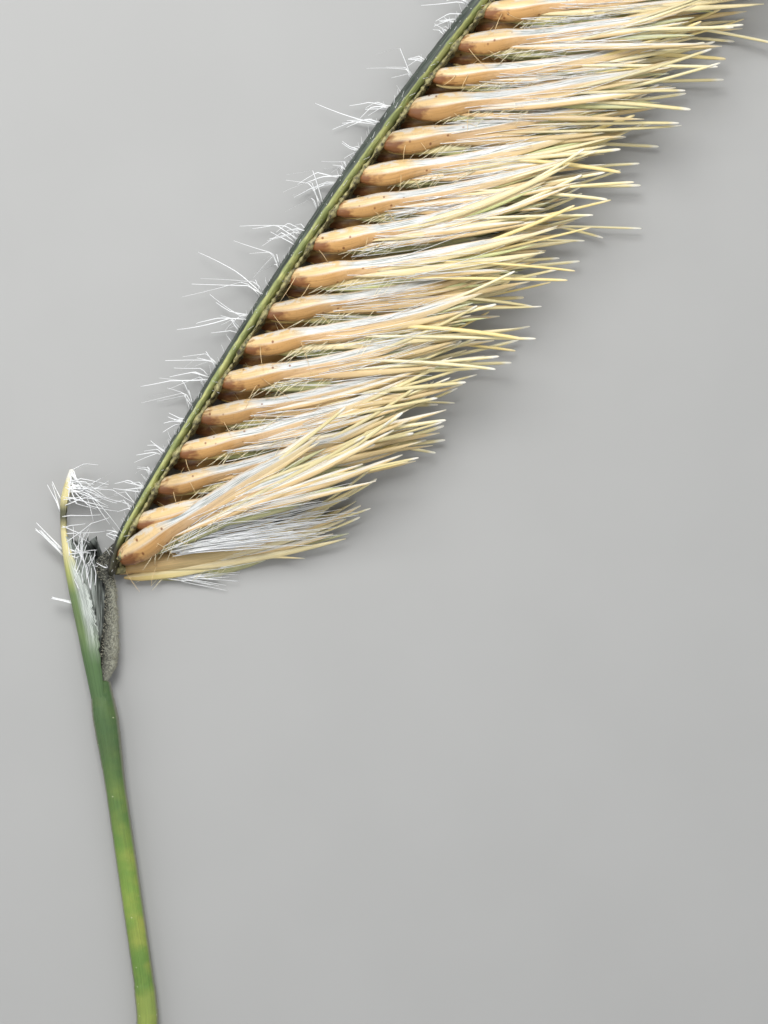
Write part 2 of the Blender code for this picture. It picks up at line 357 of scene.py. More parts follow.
def in_plane(slopes: Array, rises: Array) -> Array:
    """Unit directions with slopes in degrees, seen from above, and a rise for each step along."""
    angle = np.radians(slopes)
    return unit(np.stack([np.cos(angle), np.sin(angle), rises], -1))


class Assembly:
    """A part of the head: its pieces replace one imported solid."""

    node: str
    slot: str

    def show(
        self, name: str, rings: Array, finish: Finish, tones: Array | None = None, shares: Array | None = None
    ) -> None:
        """Makes one piece of many closed tubes, as tube_mesh has them."""
        place_piece(tube_mesh(name, rings, tones, shares), finish, self.node)

    def show_hairs(
        self, name: str, hairs: Hairs, radius: float, stations: int, finish: Finish, tones: Array
    ) -> None:
        """Makes one piece of fine hairs, as hair_rings has them, with a tone for each."""
        self.show(name, hair_rings(hairs, radius, stations), finish, tones)


# Finishes


class Graph:
    """A material's nodes, added in the order that they are needed."""

    def __init__(self, name: str, roughness: float) -> None:
        """Starts a material with one shader.

        Args:
            name: The material's name.
            roughness: The shader's roughness.
        """
        self.material = bpy.data.materials.new(name)
        self.material.use_nodes = True
        self.nodes = self.material.node_tree.nodes
        self.links = self.material.node_tree.links
        self.shader = self.nodes["Principled BSDF"]
        self.carried: tuple[Socket, ...] = ()
        self.set("Roughness", roughness)

    def set(self, name: str, value: float) -> None:
        """Sets one of the shader's own values, the same all over."""
        self.shader.inputs[name].default_value = value

    def feed(self, socket: Socket, value: Socket | float | Colour) -> None:
        """Links a socket to a value, or sets it where the value is a number or a colour.

        Args:
            socket: The node's input.
            value: Another node's output, a number or a colour.
        """
        if isinstance(value, bpy.types.NodeSocket):
            self.links.new(value, socket)
        elif isinstance(value, tuple):
            socket.default_value = (*value, 1.0)
        else:
            socket.default_value = value

    def read_piece(self) -> tuple[Socket, Socket, Socket]:
        """Reads what a piece carries, and keeps it for the patterns.

        Returns:
            The share along it and the share around it, from its own UV map, and each repeat's tone.
        """
        uv = self.nodes.new("ShaderNodeUVMap")
        uv.uv_map = UV_NAME
        split = self.nodes.new("ShaderNodeSeparateXYZ")
        self.links.new(uv.outputs[0], split.inputs[0])
        tone = self.nodes.new("ShaderNodeAttribute")
        tone.attribute_name = TONE_NAME
        self.carried = (split.outputs[0], split.outputs[1], tone.outputs["Fac"])
        return self.carried

    def place(self) -> Socket:
        """The surface's place in the part's frame, in metres."""
        return self.nodes.new("ShaderNodeTexCoord").outputs["Object"]

    def sum_of(self, kind: str, first: Socket | float, second: Socket | float = 0.0) -> Socket:
        """One step of arithmetic.

        Args:
            kind: Which one, such as MULTIPLY or COSINE.
            first: The first number.
            second: The second number, where the step has two.

        Returns:
            The result.
        """
        node = self.nodes.new("ShaderNodeMath")
        node.operation = kind
        self.feed(node.inputs[0], first)
        self.feed(node.inputs[1], second)
        return node.outputs[0]

    def times(self, first: Socket | float, second: Socket | float) -> Socket:
        """Two numbers multiplied."""
        return self.sum_of("MULTIPLY", first, second)

    def apart(self, value: Socket, middle: float) -> Socket:
        """How far a number is from a middle one."""
        return self.sum_of("ABSOLUTE", self.sum_of("SUBTRACT", value, middle))

    def side(self, around: Socket) -> Socket:
        """How far towards the upper edge of a section a place is: 1 there, 0 at the lower edge."""
        wave = self.sum_of("COSINE", self.times(around, FULL_TURN))
        return self.sum_of("ADD", self.times(wave, 0.5), 0.5)

    def streak_place(self, rates: Rates) -> Socket:
        """A place for a pattern that is stretched along a piece and differs from one repeat to the next.

        Args:
            rates: How fast the pattern changes along the piece, around it and from tone to tone.

        Returns:
            What the piece carries, each times its rate, as one place.
        """
        parts = [self.times(part, rate) for part, rate in zip(self.carried, rates)]
        node = self.nodes.new("ShaderNodeCombineXYZ")
        for socket, part in zip(node.inputs, parts):
            self.feed(socket, part)
        return node.outputs[0]

    def streaks(self, rates: Rates) -> Socket:
        """Fine lines along a piece, from 0 to 1."""
        return self.grain(self.streak_place(rates), 1.7, 3.0)

    def grain(self, where: Socket, scale: float, detail: float) -> Socket:
        """A cloudy pattern.

        Args:
            where: The place to read it at.
            scale: How many clouds there are to a unit.
            detail: How many finer layers it has.

        Returns:
            A number from 0 to 1.
        """
        node = self.nodes.new("ShaderNodeTexNoise")
        self.feed(node.inputs["Vector"], where)
        node.inputs["Scale"].default_value = scale
        node.inputs["Detail"].default_value = detail
        return node.outputs[0]

    def cells(self, rates: Rates) -> Socket:
        """How far the nearest of many points is that are scattered over a piece.

        Args:
            rates: As streak_place has them.

        Returns:
            The distance, in units of the pattern.
        """
        node = self.nodes.new("ShaderNodeTexVoronoi")
        self.feed(node.inputs["Vector"], self.streak_place(rates))
        node.inputs["Scale"].default_value = 1.0
        return node.outputs["Distance"]

    def ramp(self, factor: Socket, stops: tuple[tuple[float, Colour | float], ...]) -> Socket:
        """A colour, or a grey, that changes with a factor.

        Args:
            factor: A number from 0 to 1.
            stops: Pairs of a factor and the colour or grey that it gives, in order.

        Returns:
            The colour, straight between two stops.
        """
        node = self.nodes.new("ShaderNodeValToRGB")
        self.feed(node.inputs[0], factor)
        elements = node.color_ramp.elements
        while len(elements) < len(stops):
            elements.new(0.5)
        for element, (where, value) in zip(elements, stops):
            element.position = where
            colour = value if isinstance(value, tuple) else (value, value, value)
            element.color = (*colour, 1.0)
        return node.outputs[0]

    def mix(
        self, factor: Socket | float, first: Socket | Colour, second: Socket | Colour, kind: str = "MIX"
    ) -> Socket:
        """Two colours mixed.

        Args:
            factor: 0 for the first alone, and 1 for the second.
            first: One colour.
            second: The other.
            kind: The kind of blend, a plain one or MULTIPLY.

        Returns:
            The mixture.
        """
        node = self.nodes.new("ShaderNodeMix")
        node.data_type = "RGBA"
        node.blend_type = kind
        self.feed(node.inputs[0], factor)
        self.feed(node.inputs[6], first)
        self.feed(node.inputs[7], second)
        return node.outputs[2]

    def darken(self, share: float, colour: Socket, pattern: Socket, stops: Stops) -> Socket:
        """A colour multiplied, as far as a share says, by the greys that a ramp makes of a pattern."""
        return self.mix(share, colour, self.ramp(pattern, stops), "MULTIPLY")

    def bump(self, height: Socket, depth: float, strength: float) -> None:
        """Raises the surface.

        Args:
            height: The pattern to raise it by, from 0 to 1.
            depth: How far 1 is above 0, in metres.
            strength: How strongly it shows.
        """
        node = self.nodes.new("ShaderNodeBump")
        node.inputs["Strength"].default_value = strength
        node.inputs["Distance"].default_value = depth
        self.links.new(height, node.inputs["Height"])
        self.links.new(node.outputs[0], self.shader.inputs["Normal"])

    def paint(self, colour: Socket) -> bpy.types.Material:
        """Gives the shader its colour and returns the material."""
        self.links.new(colour, self.shader.inputs["Base Color"])
        return self.material


@dataclass(frozen=True)
class Finish:
    """What a piece is made of. Each kind below makes its own nodes once and keeps the material."""

    name: str
    roughness: float

    def material(self) -> bpy.types.Material:
        """The finish's material, made on its first use."""
        return bpy.data.materials.get(self.name) or self.build()

    def build(self) -> bpy.types.Material:
        """Makes the material. Each kind of finish has its own way."""
        raise NotImplementedError


@dataclass(frozen=True)
class HuskFinish(Finish):
    """A glossy keeled husk: brown at the root, tan with painted shade below its keel, cream with painted
    light above it, and then clear white.

    clear_share is the share of its length where the clear strip starts.
    """

    root: Colour
    lit: Colour
    shade: Colour
    blade: Colour
    tip: Colour
    clear: Colour
    dusk: Colour
    clear_share: float

    def build(self) -> bpy.types.Material:
        """Mixes two sides that meet at the keel, with fine lines along, a painted highlight along the ridge
        and dark dots.
        """
        graph = Graph(self.name, self.roughness)
        along, around, tone = graph.read_piece()
        lines = graph.streaks((5.0, 30.0, 37.0))
        side = graph.side(around)
        blotch = graph.streaks((16.0, 7.0, 23.0))
        ragged = graph.sum_of("ADD", along, graph.times(graph.sum_of("SUBTRACT", blotch, 0.5), 0.16))
        # The lower side takes the shade colour and the upper side the lit one: painted shade and painted
        # light on the keel's two faces, over the husk's own tan and cream.
        lower = graph.ramp(
            ragged,
            ((0.0, self.root), (0.05, self.root), (0.10, self.shade), (0.20, self.shade), (0.38, self.blade),
             (1.0, self.tip)),
        )
        upper = graph.ramp(
            ragged,
            ((0.0, self.root), (0.005, self.root), (0.045, self.lit), (0.30, self.lit), (0.60, self.blade),
             (1.0, self.tip)),
        )
        colour = graph.mix(graph.ramp(side, ((0.42, 0.0), (0.60, 1.0))), lower, upper)
        glassy = graph.mix(graph.ramp(lines, ((0.38, 1.0), (0.56, 0.0))), self.clear, self.dusk)
        edge = graph.ramp(side, ((0.52, 0.0), (0.60, 1.0), (0.90, 1.0), (0.97, 0.2)))
        start = self.clear_share
        reach = graph.ramp(along, ((start, 0.0), (start + 0.08, 1.0), (0.80, 0.9), (1.0, 0.2)))
        colour = graph.mix(graph.times(edge, reach), colour, glassy)
        # The upper edge's white blotches, in the clear colour: partly the clear margin and partly a painted
        # highlight.
        rim = graph.ramp(side, ((0.74, 0.0), (0.86, 0.7)))
        rim = graph.times(rim, graph.ramp(blotch, ((0.42, 0.0), (0.54, 1.0))))
        rim = graph.times(rim, graph.ramp(along, ((0.02, 0.0), (0.06, 1.0), (0.9, 0.6))))
        colour = graph.mix(rim, colour, self.clear)
        # Painted highlight: a thin pale line in the clear colour along the keel's ridge.
        ridge_highlight = graph.ramp(side, ((0.42, 0.0), (0.52, 0.7), (0.60, 0.0)))
        ridge_highlight = graph.times(ridge_highlight, graph.ramp(along, ((0.05, 0.0), (0.12, 0.5), (0.35, 0.9), (0.9, 0.4))))
        colour = graph.mix(ridge_highlight, colour, self.clear)
        colour = graph.darken(0.5, colour, lines, ((0.30, 0.62), (0.52, 1.0)))
        warts = graph.cells((95.0, 14.0, 61.0))
        colour = graph.darken(0.35, colour, warts, ((0.10, 0.70), (0.30, 1.0)))
        spots = graph.cells((22.0, 5.0, 91.0))
        marked = graph.ramp(spots, ((0.07, 1.0), (0.15, 0.0)))
        near_root = graph.ramp(along, ((0.02, 1.0), (0.30, 0.9), (0.42, 0.0)))
        colour = graph.mix(graph.times(marked, near_root), colour, self.root)
        colour = graph.darken(1.0, colour, tone, ((0.0, 0.78), (0.5, 0.94), (1.0, 1.0)))
        graph.bump(lines, 0.00002, 0.5)
        graph.set("Specular IOR Level", 0.5)
        graph.set("Coat Weight", 0.25)
        graph.set("Coat Roughness", 0.18)
        return graph.paint(colour)


@dataclass(frozen=True)
class BladeFinish(Finish):
    """A thin dry blade or bristle: its colour runs from root to tip, paler on its upper side, with veins.

    vein_share and clear_share say how far the veins and the pale side cover it. About one repeat in eight
    takes the odd colour.
    """

    root: Colour
    middle: Colour
    end: Colour
    tip: Colour
    vein: Colour
    vein_share: float
    clear: Colour
    clear_share: float
    odd: Colour

    def build(self) -> bpy.types.Material:
        """Runs a ramp from root to tip, clears one side, darkens it by veins and varies it by tone."""
        graph = Graph(self.name, self.roughness)
        along, around, tone = graph.read_piece()
        lines = graph.streaks((4.0, 26.0, 53.0))
        colour = graph.ramp(
            along,
            ((0.0, self.root), (0.30, self.middle), (0.75, self.end), (0.93, self.end), (0.97, self.tip)),
        )
        colour = graph.mix(graph.ramp(tone, ((0.85, 0.0), (0.88, 0.7))), colour, self.odd)
        flip = graph.ramp(tone, ((0.30, 0.0), (0.34, 1.0), (0.85, 1.0), (0.88, 0.2)))
        side = graph.ramp(graph.side(around), ((0.47, 0.0), (0.58, self.clear_share)))
        colour = graph.mix(graph.times(side, flip), colour, self.clear)
        veins = graph.times(graph.ramp(lines, ((0.38, 1.0), (0.60, 0.0))), self.vein_share)
        colour = graph.mix(veins, colour, self.vein)
        colour = graph.darken(1.0, colour, tone, ((0.0, 0.78), (0.6, 0.98), (1.0, 1.0)))
        graph.bump(lines, 0.000015, 0.5)
        graph.set("Specular IOR Level", 0.45)
        return graph.paint(colour)


@dataclass(frozen=True)
class HairFinish(Finish):
    """Fine hair of one pale colour, a little darker at some roots."""

    colour: Colour
    dark: Colour

    def build(self) -> bpy.types.Material:
        """Mixes the two colours by tone."""
        graph = Graph(self.name, self.roughness)
        along, _, tone = graph.read_piece()
        shade = graph.times(graph.ramp(along, ((0.0, 0.8), (0.3, 0.0))), tone)
        graph.set("Specular IOR Level", 0.6)
        return graph.paint(graph.mix(shade, self.colour, self.dark))


@dataclass(frozen=True)
class StemFinish(Finish):
    """Green stem skin: dark under the bract, mottled with yellow lower down, pale past its bend."""

    dark: Colour
    green: Colour
    light: Colour
    yellow: Colour
    pale: Colour
    # edge is the grey of the painted side shading along the stem's flanks.
    edge: Colour
    speck: Colour

    def build(self) -> bpy.types.Material:
        """Runs the greens down the stem and adds mottling, fine lines, specks and painted side shading on the
        flanks.
        """
        graph = Graph(self.name, self.roughness)
        along, around, _ = graph.read_piece()
        drift = graph.sum_of("SUBTRACT", graph.grain(graph.place(), 900.0, 3.0), 0.5)
        shifted = graph.sum_of("ADD", along, graph.times(drift, 0.14))
        colour = graph.ramp(
            shifted,
            (
                (0.0, self.dark), (0.20, self.dark), (0.42, self.green), (0.51, self.light),
                (0.60, self.light), (0.69, self.green), (0.775, self.green), (0.800, self.pale),
            ),
        )
        mottling = graph.streaks((11.0, 1.3, 0.0))
        patches = graph.ramp(mottling, ((0.40, 0.0), (0.66, 1.0)))
        stretch = graph.ramp(along, ((0.20, 0.1), (0.45, 0.5), (0.62, 1.0), (0.76, 0.4)))
        right = graph.ramp(graph.side(around), ((0.15, 0.4), (0.65, 1.0)))
        colour = graph.mix(graph.times(graph.times(patches, stretch), right), colour, self.yellow)
        lines = graph.streaks((5.0, 42.0, 0.0))
        colour = graph.darken(0.5, colour, lines, ((0.30, 0.60), (0.55, 1.0)))
        # Painted side shading: greys both flanks, where the round stem turns away from view.
        flank_shading = graph.ramp(graph.apart(graph.side(around), 0.5), ((0.40, 0.0), (0.492, 0.9)))
        colour = graph.mix(flank_shading, colour, self.edge)
        specks = graph.cells((60.0, 8.0, 0.0))
        specks = graph.ramp(specks, ((0.06, 1.0), (0.12, 0.0)))
        some = graph.ramp(graph.streaks((33.0, 1.8, 0.0)), ((0.5, 0.0), (0.6, 0.8)))
        colour = graph.mix(graph.times(specks, some), colour, self.speck)
        graph.bump(lines, 0.00003, 0.6)
        return graph.paint(colour)


@dataclass(frozen=True)
class BractFinish(Finish):
    """The bract: green at its foot, tan above, white at its point, with a clear streaked margin."""

    base: Colour
    green: Colour
    lime: Colour
    tan: Colour
    pinch: Colour
    white: Colour
    clear: Colour
    streak: Colour

    def build(self) -> bpy.types.Material:
        """Runs the colours up the bract and lays a clear, grey-streaked margin along its open edges."""
        graph = Graph(self.name, self.roughness)
        along, around, _ = graph.read_piece()
        colour = graph.ramp(
            along,
            (
                (0.0, self.base), (0.10, self.base), (0.22, self.green), (0.40, self.green),
                (0.51, self.lime), (0.60, self.tan), (0.70, self.tan), (0.765, self.pinch),
                (0.80, self.pinch), (0.86, self.tan), (0.93, self.tan), (0.97, self.white),
            ),
        )
        lines = graph.streaks((3.0, 35.0, 0.0))
        colour = graph.darken(0.6, colour, lines, ((0.30, 0.5), (0.55, 1.0)))
        margin = graph.ramp(graph.apart(around, 0.25), ((0.105, 0.0), (0.155, 1.0)))
        inside = graph.ramp(around, ((0.49, 0.0), (0.51, 1.0)))
        low = graph.ramp(along, ((0.10, 0.0), (0.22, 0.8), (0.3, 1.0), (0.5, 1.0), (0.62, 0.0)))
        pale = graph.times(graph.sum_of("MAXIMUM", margin, inside), low)
        fine = graph.streaks((4.0, 56.0, 0.0))
        colour = graph.mix(pale, colour, graph.ramp(fine, ((0.35, self.streak), (0.62, self.clear))))
        graph.bump(lines, 0.00003, 0.6)
        return graph.paint(colour)


@dataclass(frozen=True)
class WingFinish(Finish):
    """The bract's clear wing: glassy grey-white, in long streaks with dark gaps between them."""

    light: Colour
    grey: Colour
    dark: Colour

    def build(self) -> bpy.types.Material:
        """Lays streaks of three greys along the wing and lets its ragged top go dark between them."""
        graph = Graph(self.name, self.roughness)
        _, around, _ = graph.read_piece()
        lines = graph.streaks((4.0, 34.0, 0.0))
        colour = graph.ramp(lines, ((0.32, self.dark), (0.44, self.grey), (0.60, self.light)))
        free = graph.ramp(around, ((0.24, 0.0), (0.38, 0.9), (0.55, 1.0), (0.66, 0.0)))
        gaps = graph.ramp(lines, ((0.44, 1.0), (0.62, 0.35)))
        colour = graph.mix(graph.times(free, gaps), colour, self.dark)
        graph.bump(lines, 0.00004, 0.7)
        graph.set("Specular IOR Level", 0.6)
        return graph.paint(colour)


@dataclass(frozen=True)
class FootFinish(Finish):
    """Rough grey skin, nearly black at its top and along its left side, and pale on its right."""

    grey: Colour
    light: Colour
    black: Colour

    def build(self) -> bpy.types.Material:
        """Mixes the greys by a fine grain, pales the right side and breaks black into the rest."""
        graph = Graph(self.name, self.roughness)
        along, around, _ = graph.read_piece()
        grain = graph.grain(graph.place(), 24000.0, 3.0)
        patches = graph.grain(graph.place(), 9000.0, 2.0)
        colour = graph.mix(graph.ramp(grain, ((0.38, 0.0), (0.64, 1.0))), self.grey, self.light)
        rim = graph.ramp(around, ((0.08, 0.7), (0.22, 0.0), (0.94, 0.0), (1.0, 0.7)))
        colour = graph.mix(rim, colour, self.light)
        back = graph.ramp(around, ((0.15, 0.0), (0.27, 0.5), (0.38, 1.0), (0.60, 1.0), (0.74, 0.0)))
        top = graph.ramp(along, ((0.62, 0.0), (0.74, 1.0)))
        broken = graph.ramp(patches, ((0.36, 1.0), (0.66, 0.60)))
        colour = graph.mix(graph.times(graph.sum_of("MAXIMUM", back, top), broken), colour, self.black)
        graph.bump(grain, 0.00006, 0.9)
        return graph.paint(colour)


@dataclass(frozen=True)
class AxisFinish(Finish):
    """The axis's skin: dusky blue-green on its back, with a yellow-green margin on the spikelets' side."""

    back: Colour
    light: Colour
    margin: Colour
    yellow: Colour
    # node is near-black: the painted shadow beside the spikelets, and the dark band at the axis's foot.
    node: Colour
    speck: Colour

    def build(self) -> bpy.types.Material:
        """Splits the colours by the share around, breaks up the margin, paints shadow in near-black beside
        the spikelets and adds lines and specks.
        """
        graph = Graph(self.name, self.roughness)
        along, around, _ = graph.read_piece()
        lines = graph.streaks((26.0, 26.0, 0.0))
        back = graph.mix(graph.ramp(lines, ((0.42, 0.0), (0.66, 1.0))), self.back, self.light)
        blotch = graph.streaks((36.0, 2.4, 0.0))
        front = graph.mix(graph.ramp(blotch, ((0.44, 0.0), (0.60, 1.0))), self.margin, self.yellow)
        # Painted shadow: streaky near-black patches on the spikelets' side of the axis, in the node colour.
        shadow = graph.ramp(graph.streaks((47.0, 5.3, 8.0)), ((0.55, 0.0), (0.66, 0.9)))
        near = graph.ramp(graph.apart(around, 0.5), ((0.36, 0.0), (0.42, 0.9), (0.50, 1.0)))
        front = graph.mix(graph.times(shadow, near), front, self.node)
        wander = graph.times(graph.sum_of("SUBTRACT", blotch, 0.5), 0.10)
        side = graph.apart(graph.sum_of("ADD", around, wander), 0.5)
        side = graph.sum_of("SUBTRACT", side, graph.ramp(along, ((0.20, 0.0), (0.50, 0.06))))
        colour = graph.mix(graph.ramp(side, ((0.200, 0.0), (0.225, 1.0))), back, front)
        foot = graph.ramp(along, ((0.0, 0.94), (0.024, 0.94), (0.036, 0.0)))
        colour = graph.mix(foot, colour, self.node)
        specks = graph.cells((230.0, 11.0, 0.0))
        colour = graph.mix(graph.ramp(specks, ((0.06, 0.9), (0.14, 0.0))), colour, self.speck)
        graph.bump(lines, 0.00003, 0.7)
        return graph.paint(colour)


@dataclass(frozen=True)
class PlainFinish(Finish):
    """A matt surface of one colour with a faint fine grain, such as the table and the cut pith."""

    colour: Colour
    deeper: Colour
    scale: float

    def build(self) -> bpy.types.Material:
        """Mixes the two colours by the grain."""
        graph = Graph(self.name, self.roughness)
        grain = graph.grain(graph.place(), self.scale, 3.0)
        return graph.paint(graph.mix(graph.ramp(grain, ((0.35, 0.0), (0.65, 1.0))), self.colour, self.deeper))


# lit and shade are painted light and painted shade for the two faces of each husk's keel.
KEELED_HUSK = HuskFinish(
    "keeled_husk", 0.38, root=(0.25, 0.095, 0.028), lit=(0.80, 0.565, 0.27), shade=(0.62, 0.345, 0.120),
    blade=(0.84, 0.58, 0.33), tip=(0.86, 0.72, 0.42), clear=(0.75, 0.76, 0.74), dusk=(0.33, 0.37, 0.34),
    clear_share=0.20,
)
# The lower row's husk: the keeled husk's colours made darker, as painted shade for the row that lies below
# the upper one.
SHADED_UNDER_HUSK = HuskFinish(
    "shaded_under_husk", 0.45, root=(0.22, 0.085, 0.026), lit=(0.62, 0.40, 0.15), shade=(0.46, 0.255, 0.080),
    blade=(0.66, 0.44, 0.21), tip=(0.82, 0.68, 0.38), clear=(0.76, 0.76, 0.70), dusk=(0.44, 0.42, 0.32),
    clear_share=0.26,
)
INNER_HUSK = BladeFinish(
    "inner_husk", 0.42, root=(0.50, 0.30, 0.09), middle=(0.74, 0.60, 0.24), end=(0.80, 0.76, 0.46),
    tip=(0.88, 0.88, 0.78), vein=(0.56, 0.46, 0.16), vein_share=0.4, clear=(0.84, 0.84, 0.72),
    clear_share=0.4, odd=(0.80, 0.62, 0.30),
)
BOAT_HUSK = BladeFinish(
    "boat_husk", 0.42, root=(0.76, 0.45, 0.17), middle=(0.84, 0.62, 0.30), end=(0.87, 0.74, 0.40),
    tip=(0.90, 0.84, 0.60), vein=(0.56, 0.42, 0.20), vein_share=0.5, clear=(0.70, 0.68, 0.50),
    clear_share=0.0, odd=(0.86, 0.80, 0.55),
)
LEMMA_BLADE = BladeFinish(
    "lemma_blade", 0.50, root=(0.42, 0.34, 0.13), middle=(0.64, 0.61, 0.27), end=(0.74, 0.70, 0.37),
    tip=(0.90, 0.88, 0.70), vein=(0.33, 0.37, 0.20), vein_share=0.7, clear=(0.72, 0.77, 0.66),
    clear_share=0.6, odd=(0.72, 0.74, 0.30),
)
STRAW_BLADE = BladeFinish(
    "straw_blade", 0.42, root=(0.70, 0.46, 0.20), middle=(0.80, 0.57, 0.30), end=(0.86, 0.68, 0.36),
    tip=(0.93, 0.87, 0.66), vein=(0.60, 0.40, 0.17), vein_share=0.45, clear=(0.82, 0.84, 0.80),
    clear_share=0.85, odd=(0.84, 0.78, 0.46),
)
BRISTLE = BladeFinish(
    "bristle", 0.38, root=(0.82, 0.66, 0.38), middle=(0.90, 0.81, 0.52), end=(0.89, 0.78, 0.42),
    tip=(0.96, 0.94, 0.86), vein=(0.74, 0.58, 0.24), vein_share=0.25, clear=(0.92, 0.90, 0.72),
    clear_share=0.6, odd=(0.88, 0.68, 0.24),
)
SILK = HairFinish("silk_hair", 0.35, (0.93, 0.94, 0.94), (0.80, 0.78, 0.66))
CREAM_HAIR = HairFinish("cream_hair", 0.42, (0.88, 0.80, 0.55), (0.66, 0.52, 0.26))
TAN_HAIR = HairFinish("tan_hair", 0.42, (0.78, 0.58, 0.30), (0.50, 0.32, 0.13))
GREY_HAIR = HairFinish("grey_hair", 0.6, (0.38, 0.365, 0.28), (0.10, 0.10, 0.08))
STALK_SKIN = PlainFinish("stalk_skin", 0.6, (0.050, 0.042, 0.022), (0.42, 0.38, 0.17), 11000.0)
# edge is the grey of the painted side shading along the stem's flanks.
STEM_SKIN = StemFinish(
    "stem_skin", 0.45, dark=(0.064, 0.130, 0.040), green=(0.135, 0.250, 0.042), light=(0.20, 0.32, 0.052),
    yellow=(0.36, 0.38, 0.07), pale=(0.245, 0.325, 0.066), edge=(0.24, 0.23, 0.18), speck=(0.62, 0.66, 0.42),
)
PITH = PlainFinish("cut_pith", 0.8, (0.62, 0.64, 0.40), (0.36, 0.40, 0.18), 9000.0)
BRACT_SKIN = BractFinish(
    "bract_skin", 0.5, base=(0.078, 0.152, 0.050), green=(0.15, 0.225, 0.08), lime=(0.42, 0.45, 0.14),
    tan=(0.70, 0.62, 0.30), pinch=(0.10, 0.10, 0.05), white=(0.90, 0.88, 0.78), clear=(0.56, 0.60, 0.55),
    streak=(0.16, 0.18, 0.16),
)
WING_SKIN = WingFinish(
    "wing_skin", 0.45, light=(0.47, 0.51, 0.47), grey=(0.30, 0.33, 0.29), dark=(0.028, 0.031, 0.028)
)
FOOT_SKIN = FootFinish(
    "foot_skin", 0.8, grey=(0.13, 0.130, 0.105), light=(0.43, 0.43, 0.34), black=(0.018, 0.018, 0.014)
)
# node is near-black, used for the painted shadow beside the spikelets and the axis's dark foot.
AXIS_SKIN = AxisFinish(
    "axis_skin", 0.5, back=(0.024, 0.032, 0.026), light=(0.095, 0.118, 0.088), margin=(0.27, 0.31, 0.11),
    yellow=(0.50, 0.51, 0.19), node=(0.022, 0.018, 0.012), speck=(0.66, 0.68, 0.60),
)
TABLE = PlainFinish("pale_table", 0.9, (0.40, 0.40, 0.39), (0.39, 0.39, 0.38), 300.0)


# The head's plan


@dataclass(frozen=True)
class AxisPath:
    """The axis's middle line: it leaves its foot steeply, runs almost straight, then nods to its tip."""

    foot: Point = (-9.126, -4.812, 0.388)
    length: float = 26.0
    angle: float = math.radians(60.5)
    foot_turn: float = math.radians(20.0)
    turn: float = math.radians(12.0)
    hook: float = math.radians(14.0)
    half_thick: float = 0.17
    swell: float = 0.08
    half_wide: float = 0.42
    tip_share: float = 0.40
    steps: int = 400

    def angles(self, share: Array) -> Array:
        """The line's slope: the foot's turn, then an even fall, then one that grows with the cube."""
        leaving = np.clip(1.0 - share / 0.05, 0.0, 1.0)
        return self.angle + self.foot_turn * leaving - self.turn * share - self.hook * share**3

    def points(self, share: Array) -> Array:
        """Places on the line, as the running sum of short steps at each slope.

        Args:
            share: Shares of the axis's length.

        Returns:
            The places, with a last axis of x, y and z.
        """
        every = np.linspace(0.0, 1.0, self.steps + 1)
        angle = self.angles(every)
        middle = (angle[1:] + angle[:-1]) / 2.0
        step = self.length / self.steps
        x = np.concatenate([[0.0], np.cumsum(np.cos(middle) * step)]) + self.foot[0]
        y = np.concatenate([[0.0], np.cumsum(np.sin(middle) * step)]) + self.foot[1]
        places = [np.interp(share, every, x), np.interp(share, every, y), np.full_like(share, self.foot[2])]
        return np.stack(places, -1)

    def along(self, share: Array) -> Array:
        """Unit vectors along the line."""
        angle = self.angles(share)
        return np.stack([np.cos(angle), np.sin(angle), np.zeros_like(angle)], -1)

    def across(self, share: Array) -> Array:
        """Unit vectors from the line towards the spikelets."""
        angle = self.angles(share)
        return np.stack([np.sin(angle), -np.cos(angle), np.zeros_like(angle)], -1)

    def thickness(self, share: Array) -> Array:
        """Half the axis's thickness: it swells to its middle and thins to its tip."""
        swollen = self.half_thick + self.swell * ease(share / 0.5)
        return swollen * self.thinning(share)

    def slim(self, share: Array) -> Array:
        """Half the skin's thickness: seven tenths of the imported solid's, and less at its foot."""
        return self.thickness(share) * (0.70 - 0.10 * (1.0 - ease(share / 0.05)))

    def thinning(self, share: Array) -> Array:
        """How much of its width the axis keeps at a share of its length."""
        return 1.0 - (1.0 - self.tip_share) * ease((share - 0.55) / 0.45)


